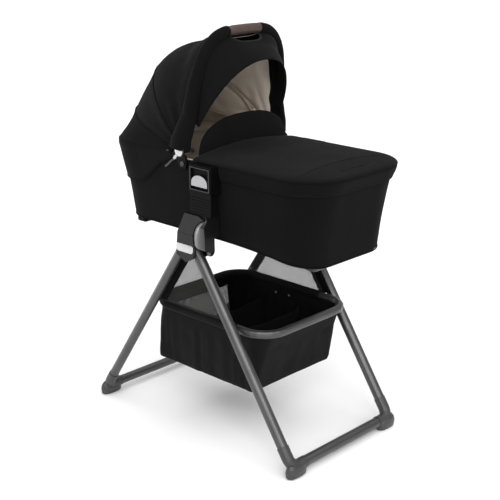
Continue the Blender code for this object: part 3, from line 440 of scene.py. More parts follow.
def tube(name, points, radius, mat, sides=10, closed=False, flat=1.0, first=(0, 1, 0)):
    v, f, uv, wrap = tube_data(points, radius, sides, closed, flat, first)
    return make(name, v, f, mat, uv, wrap)


def join_data(parts):
    """Several (verts, faces) as one."""
    verts, faces, off = [], [], 0
    for v, f in parts:
        verts.append(np.asarray(v, float))
        faces += [tuple(off + i for i in face) for face in f]
        off += len(v)
    return np.vstack(verts), faces


def stitches(name, lines, mat, pitch=0.0056, long=0.0036, r=0.00042):
    """Short raised threads along one or more lines."""
    parts = []
    for line in lines:
        total = length_of(line)
        n = max(3, int(total / pitch))
        pts = resample(line, n * 2 + 1)
        t, a, b = carried(pts)
        for i in range(1, 2 * n, 2):
            c, d = pts[i], t[i] * long / 2
            ring = [c + (a[i] * math.cos(q) + b[i] * math.sin(q)) * r for q in (0, math.pi / 2, math.pi, 3 * math.pi / 2)]
            v = [c - d] + ring + [c + d]
            parts.append((v, [(0, 2, 1), (0, 3, 2), (0, 4, 3), (0, 1, 4), (5, 1, 2), (5, 2, 3), (5, 3, 4), (5, 4, 1)]))
    v, f = join_data(parts)
    return make(name, v, f, mat)


def grid_faces(rows, cols, closed=False, off=0, flip=False):
    faces = []
    for i in range(rows - 1):
        for j in range(cols if closed else cols - 1):
            k = (j + 1) % cols
            q = (off + i * cols + j, off + i * cols + k, off + (i + 1) * cols + k, off + (i + 1) * cols + j)
            faces.append(q[::-1] if flip else q)
    return faces


def grid_normals(g, closed=False, inside=None):
    if closed:
        du = np.roll(g, -1, 1) - np.roll(g, 1, 1)
    else:
        du = np.gradient(g, axis=1)
    dv = np.gradient(g, axis=0)
    n = np.cross(du, dv)
    n /= np.linalg.norm(n, axis=2)[..., None] + 1e-12
    sign = 1.0
    if inside is not None and ((g - np.asarray(inside, float)) * n).sum() < 0:
        sign = -1.0
    return n * sign, sign


def grid_uv(g, closed=False):
    du = np.linalg.norm(np.diff(g, axis=1), axis=2)
    dv = np.linalg.norm(np.diff(g, axis=0), axis=2)
    u = np.concatenate([np.zeros((g.shape[0], 1)), np.cumsum(du, 1)], 1)
    v = np.concatenate([np.zeros((1, g.shape[1])), np.cumsum(dv, 0)], 0)
    if closed:
        wrap = length_of(np.vstack([g[g.shape[0] // 2], g[g.shape[0] // 2][:1]]))
        u = np.broadcast_to(np.arange(g.shape[1]) / g.shape[1] * wrap, u.shape)
        return np.stack([u, v], -1), wrap
    return np.stack([u, v], -1), None


def field(points, scale, seed, stretch=(1, 1, 1)):
    """Smooth noise at each point, from about -1 to 1."""
    p = np.asarray(points, float).reshape(-1, 3) * np.asarray(stretch) * scale + seed
    return np.array([noise.noise(Vector(q)) for q in p]).reshape(np.asarray(points).shape[:-1])


def sheet(name, g, mats, thick, closed=False, inside=None, inner_mat=None, window=None, caps=()):
    """Cloth of even thickness: g is its outer face. inner_mat takes the inner face; window(i, j) picks a material."""
    g = np.asarray(g, float)
    rows, cols = g.shape[:2]
    n, sign = grid_normals(g, closed, inside)
    inner = g - n * thick
    uv, wrap = grid_uv(g, closed)
    flip = sign < 0
    verts = np.vstack([g.reshape(-1, 3), inner.reshape(-1, 3)])
    off = rows * cols
    faces = grid_faces(rows, cols, closed, 0, flip) + grid_faces(rows, cols, closed, off, not flip)
    count = len(faces) // 2
    pick = [0] * len(faces)
    if inner_mat is not None:
        pick[count:] = [inner_mat] * count
    if window is not None:
        span = cols if closed else cols - 1
        for i in range(rows - 1):
            for j in range(span):
                m = window(i, j)
                if m is not None:
                    pick[i * span + j] = pick[count + i * span + j] = m
    def rim(a, b):
        q = (a, b, off + b, off + a)
        faces.append(q if flip else q[::-1])
        pick.append(0)
    for j in range(cols if closed else cols - 1):
        k = (j + 1) % cols
        if "first" not in caps:
            rim(j, k)
        if "last" not in caps:
            rim((rows - 1) * cols + k, (rows - 1) * cols + j)
    if not closed:
        for i in range(rows - 1):
            rim((i + 1) * cols, i * cols)
            rim(i * cols + cols - 1, (i + 1) * cols + cols - 1)
    for end in caps:
        base = 0 if end == "first" else (rows - 1) * cols
        ring = [base + j for j in range(cols)]
        for o, turned in ((0, flip), (off, not flip)):
            row = [o + k for k in ring]
            if (end == "first") != turned:
                row = row[::-1]
            faces.append(tuple(row))
            pick.append(0)
    both = np.vstack([uv.reshape(-1, 2), uv.reshape(-1, 2)])
    return make(name, verts, faces, mats, both, wrap, pick)


def baked(obj):
    """The object with its modifiers worked into its mesh."""
    graph = bpy.context.evaluated_depsgraph_get()
    mesh = bpy.data.meshes.new_from_object(obj.evaluated_get(graph))
    obj.modifiers.clear()
    obj.data = mesh
    return obj


def merged(obj, distance=1e-5):
    """The same mesh with its doubled points joined and its normals outward."""
    bm = bmesh.new()
    bm.from_mesh(obj.data)
    bmesh.ops.remove_doubles(bm, verts=bm.verts, dist=distance)
    bmesh.ops.recalc_face_normals(bm, faces=bm.faces)
    bm.to_mesh(obj.data)
    bm.free()
    return obj


# ---------------------------------------------------------------- the layout's curves
def step(t):
    t = np.clip(t, 0.0, 1.0)
    return t * t * (3 - 2 * t)


def rounded_plan(x0, x1, half, rh, rf, n=16):
    pts = []
    for cx, cy, r, start in ((x1 - rf, -half + rf, rf, -90), (x1 - rf, half - rf, rf, 0),
                             (x0 + rh, half - rh, rh, 90), (x0 + rh, -half + rh, rh, 180)):
        for i in range(n + 1):
            a = math.radians(start + 90.0 * i / n)
            pts.append((cx + r * math.cos(a), cy + r * math.sin(a)))
    return pts


def plan_ring(x0, x1, half, rh, rf, z, n):
    flat = resample(rounded_plan(x0, x1, half, rh, rf), n, True)
    return np.column_stack([flat, np.full(n, z)])


def tub_level(z):
    t = max(0.0, (z - TUB_FLOOR_Z) / (RIM_Z - TUB_FLOOR_Z))
    u = t ** 1.6
    return (-0.3330 - 0.040 * u, 0.3900 + 0.040 * u, 0.1720 + 0.0255 * t, 0.105 + 0.018 * t, 0.085 + 0.030 * t)


def base_sag(p):
    """The cloth base hangs a little towards the foot end."""
    p = np.array(p, float)
    a = np.clip((p[..., 0] - 0.05) / 0.35, 0, 1) ** 2.2
    low = np.clip((RIM_Z - 0.03 - p[..., 2]) / (RIM_Z - 0.03 - TUB_FLOOR_Z), 0, 1)
    p[..., 2] -= 0.0265 * a * low
    return p


def tub_ring(z, inset=0.0, n=200, at=None):
    x0, x1, half, rh, rf = tub_level(z)
    return plan_ring(x0 + inset, x1 - inset, half - inset, max(0.01, rh - inset), max(0.01, rf - inset), z if at is None else at, n)


def arch_point(angle, radius, half, power, t):
    a = math.pi * t
    y = -half * math.copysign(abs(math.cos(a)) ** (2 / power), math.cos(a))
    return radius * abs(math.sin(a)) ** (2 / power), y


def spoke(angle, s, y):
    b = math.radians(angle)
    return np.array([CAN_X + s * math.sin(b), y, CAN_Z + s * math.cos(b)])


def panel_grid(a0, a1, cut0, cut1, bulge, skew=1.0, rows=13, cols=81, low=0.040):
    grid = np.zeros((rows, cols, 3))
    for i in range(rows):
        k = i / (rows - 1)
        radius, half, power = (a0[m] * (1 - k) + a1[m] * k for m in (1, 2, 3))
        t_low = (1 / math.pi) * math.asin((low / radius) ** (power / 2))
        for j in range(cols):
            t = t_low + (1 - 2 * t_low) * j / (cols - 1)
            s, y = arch_point(0, radius, half, power, t)
            swell = 1 + bulge * math.sin(math.pi * k ** skew)
            lo = a0[0] + math.degrees(cut0 / max(s, 0.02))
            hi = a1[0] - math.degrees(cut1 / max(s, 0.02))
            grid[i, j] = spoke(lo + (hi - lo) * k, s * swell, y * (1 + 0.5 * bulge * math.sin(math.pi * k)))
    return grid


MID = (MID_ANGLE, 0.3175, 0.1860, 2.15)
REAR = (REAR_ANGLE, 0.3550, 0.1880, 2.0)
HAND = (HANDLE_ANGLE, 0.3030, 0.1780, 3.2)
VIS0 = (HANDLE_ANGLE, 0.3030, 0.1600, 3.4)
VIS1 = (27.6, 0.2753, 0.1690, 2.20)
HEAD_X = -0.0760


def head_point(u, z, grow):
    x0, x1, half, rh, rf = tub_level(min(z, RIM_Z))
    x0, half, rh = x0 - grow, half + grow, rh + grow
    straight = HEAD_X - (x0 + rh)
    total = straight + rh * math.pi / 2 + (half - rh)
    d = u * total
    if d < straight:
        return np.array([HEAD_X - d, -half, z])
    if d < straight + rh * math.pi / 2:
        a = -math.pi / 2 - (d - straight) / rh
        return np.array([x0 + rh + rh * math.cos(a), -half + rh + rh * math.sin(a), z])
    return np.array([x0, -half + rh + (d - straight - rh * math.pi / 2), z])


def hem(x):
    return 0.7880 - 0.0860 * float(step((-0.085 - x) / 0.16))


# ---------------------------------------------------------------- finishes of the parts that stay
for side, _ in SIDES:
    for end in ("head", "foot"):
        NODES[f"{end}_leg_{side}"].data.materials[0] = GRAPHITE
        NODES[f"{end}_corner_{side}"].data.materials[0] = FOOT_SHELL
    for name, mat in (("hub_bracket", BRACKET), ("hub_cover", HUB_SHELL), ("fold_release", HUB_SHELL), ("hub_trim_plate", CHROME),
                      ("mount_post", BLACK_SHELL), ("mount_housing", BLACK_SHELL), ("release_button", SATIN_SILVER), ("basket_rivet", STEEL),
                      ("canopy_hub", BLACK_SHELL), ("canopy_button", BEZEL)):
        NODES[f"{name}_{side}"].data.materials[0] = mat
for name, mat in (("head_floor_bar", GRAPHITE), ("foot_floor_bar", GRAPHITE), ("basket_ring", GRAPHITE), ("rim_frame", STEEL), ("base_board", BOARD),
                  ("base_skid_head", BLACK_SHELL), ("base_skid_foot", FOOT_SHELL), ("canopy_bow_mid", STEEL), ("canopy_bow_rear", STEEL)):
    NODES[name].data.materials[0] = mat


def soften(name, width, segments=2, angle=30.0):
    """Rounds a moulded part's edges a little, so that they catch the light."""
    obj = NODES[name]
    mod = obj.modifiers.new("edges", "BEVEL")
    mod.width, mod.segments, mod.limit_method, mod.angle_limit = width, segments, "ANGLE", math.radians(angle)
    mod.use_clamp_overlap = True
    mod.harden_normals = False
    for poly in obj.data.polygons:
        poly.use_smooth = True
    obj.data.set_sharp_from_angle(angle=math.radians(40))


for side, _ in SIDES:
    for name, width in (("hub_cover", 0.0030), ("fold_release", 0.0022), ("mount_post", 0.0010), ("release_button", 0.0012)):
        soften(f"{name}_{side}", width, 3)


# ---------------------------------------------------------------- bassinet body
IN_TUB = (0.02, 0.0, 0.70)
N_TUB = 220
rows = [tub_ring(TUB_FLOOR_Z, i, N_TUB, TUB_FLOOR_Z) for i in (0.150, 0.100, 0.060, 0.030, 0.016)]
rows += [tub_ring(z, i, N_TUB) for z, i in ((0.5856, 0.0095), (0.5875, 0.0045), (0.5910, 0.0015), (0.5960, 0.0003))]
for z in np.linspace(0.603, 0.7935, 24):
    rows.append(tub_ring(z, 0.0, N_TUB))
rows += [tub_ring(RIM_Z, 0.0008, N_TUB, RIM_Z + 0.0006), tub_ring(RIM_Z, 0.0030, N_TUB, RIM_Z + 0.0014)]
g = np.array(rows)
n, _ = grid_normals(g, True, IN_TUB)
rise = np.clip((g[..., 2] - 0.600) / 0.02, 0, 1)
push = 0.0011 * field(g, 9.0, 3.1, (1, 1, 0.55)) + 0.0005 * field(g, 34.0, 7.7, (1, 1, 0.45))
seam = np.exp(-((g[..., 2] - 0.6065) / 0.0016) ** 2)
g = base_sag(g + n * ((push + 0.0006) * rise - 0.0013 * seam)[..., None])
tub = sheet("tub_fabric", g, [BLACK], 0.0026, True, IN_TUB, None, None, ("first",))
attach(tub, "bassinet")
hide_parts("tub_cover")
lines = []
for z in (0.6033, 0.6097):
    ring = base_sag(tub_ring(z, -0.0002, 400))
    lines.append(np.vstack([ring, ring[:1]]))
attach(stitches("tub_base_stitching", lines, THREAD), "bassinet")
ring = base_sag(tub_ring(0.5885, 0.0008, 240, 0.5885))
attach(tube("tub_base_piping", ring, 0.0019, BINDING, 8, True), "bassinet")

# lining: up from the mattress, over the rim tube
rows = [tub_ring(z, i, N_TUB, at) for z, i, at in ((0.6060, 0.0160, 0.6060), (0.6200, 0.0142, 0.6200), (0.6400, 0.0132, 0.6400))]
for z in np.linspace(0.652, 0.768, 14):
    rows.append(tub_ring(z, 0.0130, N_TUB))
rows += [tub_ring(RIM_Z, i, N_TUB, at) for i, at in ((0.0150, 0.7760), (0.0203, 0.7800), (0.0228, 0.7850), (0.0226, 0.7905), (0.0196, 0.7954),
                                                    (0.0150, 0.7980), (0.0105, 0.7986), (0.0060, 0.7982), (0.0030, 0.7972))]
g = np.array(rows)
n, _ = grid_normals(g, True, IN_TUB)
low = np.clip((0.772 - g[..., 2]) / 0.03, 0, 1)
push = 0.0022 * field(g, 16.0, 11.3, (1, 1, 0.5)) + 0.0009 * field(g, 48.0, 2.2, (1, 1, 0.4))
seam = np.exp(-((g[..., 2] - 0.7450) / 0.0022) ** 2)
g = g + n * (push * low * 0.8 + 0.0016 * seam * low)[..., None]
# the tub's lining is the darkened taupe: painted shade for the inside of the tub
lining = sheet("tub_lining_cloth", g, [TAUPE_PAINTED_SHADE], -0.0012, True, IN_TUB)
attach(lining, "bassinet")
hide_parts("tub_lining")
lines = []
for z in (0.7415, 0.7485):
    ring = tub_ring(z, 0.0152, 400)
    lines.append(np.vstack([ring, ring[:1]]))
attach(stitches("tub_lining_stitching", lines, TAUPE_THREAD, 0.0052), "bassinet")

# mattress: a crowned pad with a piped edge and quilting channels
rows = []
for inset, z in ((0.130, 0.6046), (0.080, 0.6046), (0.045, 0.6047), (0.030, 0.6055), (0.0245, 0.6080), (0.0225, 0.6130), (0.0220, 0.6190),
                 (0.0228, 0.6250), (0.0250, 0.6300), (0.0290, 0.6345), (0.0350, 0.6372)):
    rows.append(tub_ring(0.6200, inset, N_TUB, z))
for inset in (0.043, 0.052, 0.062, 0.073, 0.085, 0.098, 0.112, 0.127, 0.140, 0.150):
    rows.append(tub_ring(0.6200, inset, N_TUB, 0.6372 + 0.0018 * (1 - math.exp(-(inset - 0.035) / 0.03))))
g = np.array(rows)
top = np.clip((g[..., 2] - 0.632) / 0.005, 0, 1)
quilt = np.maximum(np.exp(-((((g[..., 0] + g[..., 1]) / 0.055 + 0.5) % 1 - 0.5) * 0.055 / 0.0035) ** 2),
                   np.exp(-((((g[..., 0] - g[..., 1]) / 0.055 + 0.5) % 1 - 0.5) * 0.055 / 0.0035) ** 2))
g[..., 2] += top * (0.0012 - 0.0034 * quilt + 0.0007 * field(g, 22.0, 5.0))
cols = N_TUB
verts = g.reshape(-1, 3)
faces = grid_faces(len(rows), cols, True) + [tuple(range(cols - 1, -1, -1)), tuple((len(rows) - 1) * cols + k for k in range(cols))]
uv = verts[:, :2]
mattress = make("mattress_pad", verts, faces, [QUILT], uv)
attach(mattress, "bassinet")
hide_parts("mattress")
ring = tub_ring(0.6200, 0.0268, 240, 0.6336)
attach(tube("mattress_piping", ring, 0.0016, QUILT, 8, True), "bassinet")


# ---------------------------------------------------------------- apron
IN_APRON = (0.15, 0.0, 0.74)


def u_line(x_start, outward, z, level=RIM_Z, n=181):
    """A line round the foot end of the tub, from the near side to the far side."""
    x0, x1, half, rh, rf = tub_level(min(level, RIM_Z))
    x1, half, rf = x1 + outward, half + outward, rf + outward
    pts = [(x_start, -half), (x1 - rf, -half)]
    pts += [(x1 - rf + rf * math.sin(math.pi / 2 * i / 24), -half + rf - rf * math.cos(math.pi / 2 * i / 24)) for i in range(1, 25)]
    pts += [(x, -y) for x, y in reversed(pts)]
    flat = resample(pts, n)
    return np.column_stack([flat, np.full(n, z)])


NU = 221
# skirt, from the hem up to the seam at the rim; it starts past the housings
rows = []
for z, out in ((0.7628, 0.0052), (0.7640, 0.0062), (0.7665, 0.0066), (0.7700, 0.0068), (0.7750, 0.0078), (0.7800, 0.0088), (0.7850, 0.0095),
               (0.7900, 0.0099), (0.7945, 0.0101), (0.7985, 0.0098), (0.8015, 0.0090)):
    rows.append(u_line(0.1066, out, z, z, NU))
g = np.array(rows)
n, _ = grid_normals(g, False, IN_APRON)
soft = np.clip((g[..., 2] - 0.764) / 0.008, 0.25, 1) * np.clip((0.802 - g[..., 2]) / 0.008, 0, 1)
push = 0.0011 * field(g, 13.0, 21.0, (1, 1, 0.5)) + 0.0006 * field(g, 45.0, 4.4, (1, 1, 0.35))
seam = np.exp(-((g[..., 2] - 0.7722) / 0.0011) ** 2)
g = g + n * (push * soft - 0.0009 * seam)[..., None]
skirt = sheet("apron_skirt", g, [BLACK], 0.0022, False, IN_APRON)
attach(skirt, "bassinet")
lines = [u_line(0.1085, 0.0072, 0.7700, 0.7700, 300), u_line(0.1085, 0.0078, 0.7745, 0.7745, 300)]
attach(stitches("apron_hem_stitching", lines, THREAD), "bassinet")

# the domed top: rows that follow its edge, then straight rows from side to side
edge_line = u_line(0.0100, 0.0, 0.0, RIM_Z, NU)[:, :2]


def edge_distance(xy):
    flat = np.asarray(xy, float).reshape(-1, 2)
    a, b = edge_line[:-1], edge_line[1:]
    ab = b - a
    t = np.clip(((flat[:, None] - a[None]) * ab[None]).sum(2) / (ab ** 2).sum(1)[None], 0, 1)
    d = np.linalg.norm(flat[:, None] - (a[None] + ab[None] * t[..., None]), axis=2).min(1)
    return d.reshape(np.asarray(xy).shape[:-1])


def apron_height(xy):
    """The dome over the foot end: higher in the middle and behind the flap, with one sewn seam across."""
    xy = np.asarray(xy, float)
    d = edge_distance(xy)
    x, y = xy[..., 0], xy[..., 1]
    rise = 1 - np.exp(-d / 0.050)
    z = 0.8092 + 0.0080 * rise + 0.0105 * np.exp(-((x - 0.008) / 0.060) ** 2) * np.clip(1 - (y / 0.19) ** 2, 0, 1) * rise
    p = np.stack([x, y, np.zeros_like(x)], -1)
    inner = np.clip(d / 0.02, 0, 1)
    z = z + inner * (0.0013 * field(p, 7.0, 31.0) + 0.0007 * field(p, 21.0, 9.0, (1, 0.6, 1)))
    across = x - (0.3400 + 0.85 * y ** 2)
    return z + inner * (0.0010 * np.exp(-(across / 0.018) ** 2) - 0.0024 * np.exp(-(across / 0.0024) ** 2))


rows = []
for out, z in ((0.0086, 0.7990), (0.0094, 0.8010), (0.0092, 0.8032), (0.0076, 0.8055), (0.0048, 0.8073), (0.0010, 0.8086)):
    rows.append(u_line(0.0100, out, z, RIM_Z, NU))
for d in (0.003, 0.007, 0.012, 0.018, 0.025, 0.033):
    line = u_line(0.0100, -d, 0.0, RIM_Z, NU)
    line[:, 2] = apron_height(line[:, :2])
    rows.append(line)
roll = np.array(rows)
half_n, across_n = NU // 2, 81
patch = np.zeros((half_n + 1, across_n, 3))
for k in range(half_n + 1):
    px, py = roll[-1, k, 0], abs(roll[-1, k, 1])
    patch[k, :, 0] = px
    patch[k, :, 1] = np.linspace(-py, py, across_n)
patch[half_n, :, 1] = 0.0
patch[..., 2] = apron_height(patch[..., :2])
verts = np.vstack([roll.reshape(-1, 3), patch.reshape(-1, 3)])
off = len(roll) * NU
faces = grid_faces(len(roll), NU) + grid_faces(half_n, across_n, False, off)
faces += [(off + (half_n - 1) * across_n + j, off + (half_n - 1) * across_n + j + 1, off + half_n * across_n) for j in range(across_n - 1)]
# the top takes the charcoal, lighter than the black skirt: partly painted light on the upward face
apron = merged(make("apron_top", verts, faces, [CHARCOAL_PAINTED_LIGHT]), 2e-5)
centre_normal = sum((p.normal.z * p.area for p in apron.data.polygons), 0.0)
if centre_normal < 0:
    apron.data.flip_normals()
mod = apron.modifiers.new("cloth", "SOLIDIFY")
mod.thickness, mod.offset = 0.0024, -1
baked(apron)
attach(apron, "bassinet")
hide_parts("apron")
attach(tube("apron_edge_piping", u_line(0.0110, 0.0096, 0.8022, RIM_Z, 240), 0.0011, BINDING, 8), "bassinet")
lines = []
for shift in (-0.0046, 0.0046):
    ys = np.linspace(-0.188, 0.188, 161)
    xy = np.column_stack([0.3400 + 0.85 * ys ** 2 + shift, ys])
    lines.append(np.column_stack([xy, apron_height(xy) + 0.0003]))
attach(stitches("apron_seam_stitching", lines, THREAD), "bassinet")

# wind flap: a padded crescent that stands behind the apron
FLAP_X, FLAP_H, FLAP_HALF, FLAP_FOOT = 0.0015, 0.0900, 0.1740, 0.8030
rows_n, cols_n = 22, 121
front, back = np.zeros((rows_n, cols_n, 3)), np.zeros((rows_n, cols_n, 3))
for i in range(rows_n):
    r = i / (rows_n - 1)
    for j in range(cols_n):
        y = -FLAP_HALF + 2 * FLAP_HALF * j / (cols_n - 1)
        w = max(0.0, 1 - abs(y / FLAP_HALF) ** 2.6)
        h = FLAP_H * w ** 0.5
        z = FLAP_FOOT + (h + 0.009) * r
        swell = math.sin(math.pi * (0.06 + 0.90 * r)) ** 0.75 * (1 - abs(y / FLAP_HALF) ** 5)
        f_out = 0.0012 + 0.0072 * swell
        b_out = 0.0012 + 0.0030 * swell
        front[i, j] = (FLAP_X + f_out, y, z)
        back[i, j] = (FLAP_X - b_out, y, z)
bumps = 0.0008 * field(front, 20.0, 41.0) + 0.0006 * field(front, 55.0, 43.0)
front[..., 0] += bumps * np.linspace(0.2, 1, rows_n)[:, None]
verts = np.vstack([front.reshape(-1, 3), back.reshape(-1, 3)])
off = rows_n * cols_n
faces = grid_faces(rows_n, cols_n, False, 0) + grid_faces(rows_n, cols_n, False, off, True)
for j in range(cols_n - 1):
    faces.append((j + 1, j, off + j, off + j + 1))
    t = (rows_n - 1) * cols_n
    faces.append((t + j, t + j + 1, off + t + j + 1, off + t + j))
for i in range(rows_n - 1):
    a, b = i * cols_n, (i + 1) * cols_n
    faces.append((a, b, off + b, off + a))
    faces.append((b + cols_n - 1, a + cols_n - 1, off + a + cols_n - 1, off + b + cols_n - 1))
picks = [0] * ((rows_n - 1) * (cols_n - 1)) + [1] * ((rows_n - 1) * (cols_n - 1))
picks += [0] * (len(faces) - len(picks))
# the flap's front is the same charcoal with its painted light; its back is the taupe
flap = make("wind_flap_pad", verts, faces, [CHARCOAL_PAINTED_LIGHT, TAUPE], verts[:, [1, 2]], None, picks)
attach(flap, "flap")
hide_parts("wind_flap")
rim = (front[-1] + back[-1]) / 2
ends_n = [np.array([rim[0][0], rim[0][1], FLAP_FOOT + 0.001])], [np.array([rim[-1][0], rim[-1][1], FLAP_FOOT + 0.001])]
path = resample(rim[3:-3], 160)
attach(tube("wind_flap_piping", path, 0.0022, BINDING, 8), "flap")


# ---------------------------------------------------------------- canopy
IN_HOOD = (-0.08, 0.0, 0.86)


def hood(obj):
    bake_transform(obj)
    return obj


def crease(g, amp, seed):
    """Folds that run out from the pivots, and a faint unevenness in the cloth."""
    dx, dz = g[..., 0] - CAN_X, g[..., 2] - CAN_Z
    s = np.hypot(dx, dz)
    angle = np.arctan2(dx, dz)
    low = np.exp(-((s - 0.10) / 0.075) ** 2)
    fan = np.sin(angle * 17.0 + 2.0 * np.sign(g[..., 1])) * low
    return amp * (0.9 * fan * 0.8 + 0.9 * field(g, 11.0, seed) + 0.45 * field(g, 38.0, seed + 5))


def seam_profile(rows_count, width_rows=1.0):
    i = np.arange(rows_count)
    return np.exp(-(np.minimum(i, rows_count - 1 - i) / width_rows) ** 2)


def damp(rows_count, reach_rows=2.0):
    i = np.arange(rows_count)
    return 1 - np.exp(-(np.minimum(i, rows_count - 1 - i) / reach_rows) ** 2)


def meet_handle(g, weights):
    """Lifts the rows beside the handle to its sleeve, but not under the grip, where the fingers go."""
    dx, dz = g[..., 0] - CAN_X, g[..., 2] - CAN_Z
    s = np.hypot(dx, dz)
    y = np.abs(g[..., 1])
    arc = HANDLE_R * np.clip(1 - (y / HANDLE_W) ** HANDLE_N, 0, 1) ** (1 / HANDLE_N)
    target = arc - 0.0095 - 0.0095 * np.exp(-(y / 0.062) ** 4)
    up = np.clip(target - s, 0, 0.03) * np.asarray(weights)[:, None]
    out = g.copy()
    out[..., 0] += dx / s * up
    out[..., 2] += dz / s * up
    return out


hood_outer = {}
g = panel_grid(MID, HAND, 0.0, 0.0060, -0.060, 1.5, 25, 111)
g = meet_handle(g, step((np.linspace(0, 1, 25) - 0.62) / 0.38))
n, _ = grid_normals(g, False, IN_HOOD)
g = g + n * (crease(g, 0.0022, 51.0) * damp(25, 2.5)[:, None] - 0.0012 * seam_profile(25, 0.9)[:, None])[..., None]
hood_outer["front"] = g
g = panel_grid(REAR, MID, 0.0, 0.0, -0.035, 1.0, 17, 111)
n, _ = grid_normals(g, False, IN_HOOD)
g = g + n * (crease(g, 0.0022, 57.0) * damp(17, 2.2)[:, None] - 0.0012 * seam_profile(17, 0.9)[:, None])[..., None]
hood_outer["mid"] = g

cols = 111
half_cols = cols // 2
t_low = (1 / math.pi) * math.asin((0.040 / REAR[1]) ** (REAR[3] / 2))
upper, skirt_rows = [[] for _ in range(11)], [[] for _ in range(9)]
for j in range(half_cols + 1):
    u = j / half_cols
    s, yy = arch_point(0, REAR[1], REAR[2], REAR[3], t_low + (0.5 - t_low) * u)
    top = spoke(REAR[0], s, yy)
    wide = head_point(u, 0.8090, 0.0055)
    z_hem = hem(wide[0])
    for i in range(11):
        q = top + (wide - top) * i / 10
        out = np.array([q[0] - CAN_X, q[1], 0.0])
        out /= np.linalg.norm(out)
        upper[i].append(q - out * 0.005 * math.sin(math.pi * i / 10))
    for i in range(9):
        z = 0.8100 + (z_hem - 0.8100) * i / 8
        skirt_rows[i].append(head_point(u, z, 0.0055 + 0.0006 * math.sin(math.pi * i / 8) - 0.0010 * (i / 8)))
for row in upper + skirt_rows:
    row += [np.array([q[0], -q[1], q[2]]) for q in reversed(row[:-1])]
g = np.array(upper)
n, _ = grid_normals(g, False, IN_HOOD)
g = g + n * (crease(g, 0.0018, 63.0) * damp(11, 1.6)[:, None])[..., None]
hood_outer["rear"] = g
skirt_grid = np.array(skirt_rows)
n, _ = grid_normals(skirt_grid, False, (-0.15, 0, 0.75))
fade = np.sin(np.linspace(0, math.pi, 9))[:, None] * 0.8 + 0.15
skirt_grid = skirt_grid + n * ((0.0011 * field(skirt_grid, 12.0, 71.0, (1, 1, 0.6)) + 0.0006 * field(skirt_grid, 40.0, 73.0)) * fade)[..., None]

FLAT = {"front": (0.78, 0.30), "mid": (0.80, 0.17), "rear": (0.82, 0.12)}
for key, node in (("front", "canopy_panel_front"), ("mid", "canopy_panel_mid"), ("rear", "canopy_panel_rear")):
    g = hood_outer[key]
    piece = sheet(f"canopy_{key}", g, [BLACK], 0.0016, False, IN_HOOD)
    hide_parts(node)
    hood_outer[key + "_piece"] = piece

piece = sheet("canopy_head_skirt", skirt_grid, [BLACK], 0.0018, False, (-0.15, 0, 0.75))
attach(piece, "bassinet")
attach(tube("canopy_skirt_binding", skirt_grid[-1], 0.0015, BINDING, 8), "bassinet")
line = skirt_grid[-1] * 0.88 + skirt_grid[-2] * 0.12
n, _ = grid_normals(skirt_grid, False, (-0.15, 0, 0.75))
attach(stitches("canopy_skirt_stitching", [line + n[-1] * 0.0004], THREAD), "bassinet")


SLOT_HALF = 0.0560


def slot_angle(y):
    """The front lip of the hand slot, as an angle about the pivot."""
    return HANDLE_ANGLE + 6.2 * (1 - min(1.0, abs(y) / SLOT_HALF) ** 3.2) ** 0.45


slot_ys = SLOT_HALF * np.sin(np.linspace(-math.pi / 2, math.pi / 2, 49))
loop = [(slot_angle(y), y) for y in slot_ys] + [(HANDLE_ANGLE - 2.4, y) for y in slot_ys[::-1]]
v = [spoke(a, s, y) for s in (0.200, 0.420) for a, y in loop]
f = grid_faces(2, len(loop), True) + [tuple(range(len(loop) - 1, -1, -1)), tuple(len(loop) + k for k in range(len(loop)))]
slot_cut = merged(make("slot_cut", v, f, BLACK), 1e-7)


def cut_slot(obj):
    """Opens the hand slot through a cloth piece, and leaves a plain mesh."""
    mod = obj.modifiers.new("slot", "BOOLEAN")
    mod.operation, mod.solver, mod.object = "DIFFERENCE", "EXACT", slot_cut
    graph = bpy.context.evaluated_depsgraph_get()
    mesh = bpy.data.meshes.new_from_object(obj.evaluated_get(graph))
    obj.modifiers.clear()
    obj.data = mesh
    return obj


# lining under the canopy, a hand's breadth of padding inside the outer cloth
def inset_grid(g, depth):
    n, _ = grid_normals(g, False, IN_HOOD)
    return g - n * depth


lin = {}
for key, depth in (("front", 0.0095), ("mid", 0.0095), ("rear", 0.0075)):
    g = inset_grid(hood_outer[key], depth)
    if key == "rear":
        g = g[:, 3:-3]
    n, _ = grid_normals(g, False, IN_HOOD)
    m = g.shape[0]
    g = g + n * ((0.0038 * field(g, 15.0, 81.0) + 0.0024 * field(g, 42.0, 83.0)) * damp(m, 2.0)[:, None] + 0.0050 * (1 - damp(m, 1.2))[:, None])[..., None]
    # the lining's rows next to the handle, widest in the middle, are black cloth
    black_band_rows = (lambda i, j: 1 if i >= 21 - 8 * math.exp(-((j - 55) / 19) ** 4) else None) if key == "front" else None
    if key == "mid":
        g = g[:, 3:-3]
    piece = sheet(f"canopy_lining_{key}", g, [TAUPE, BLACK], -0.0010, False, IN_HOOD, None, black_band_rows)
    lin[key] = (g, piece)
for key in ("front", "mid", "rear"):
    hood(hood_outer[key + "_piece"])
    hood(lin[key][1])


for tag in ("mid", "rear"):
    # each bow runs in a cloth channel of the lining, and only its pivot eyes are bare
    channel = bpy.data.objects.new(f"canopy_bow_{tag}_channel", NODES[f"canopy_bow_{tag}"].data.copy())
    bpy.context.scene.collection.objects.link(channel)
    channel.data.materials.clear()
    # the channel cloth is the darkened taupe: painted shade inside the canopy
    channel.data.materials.append(TAUPE_PAINTED_SHADE)
    channel.data.materials.append(STEEL)
    for poly in channel.data.polygons:
        c = poly.center
        poly.material_index = 1 if math.hypot(c.x - CAN_X - SHIFT, c.z - CAN_Z) < 0.028 else 0
    hood(channel)
    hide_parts(f"canopy_bow_{tag}")


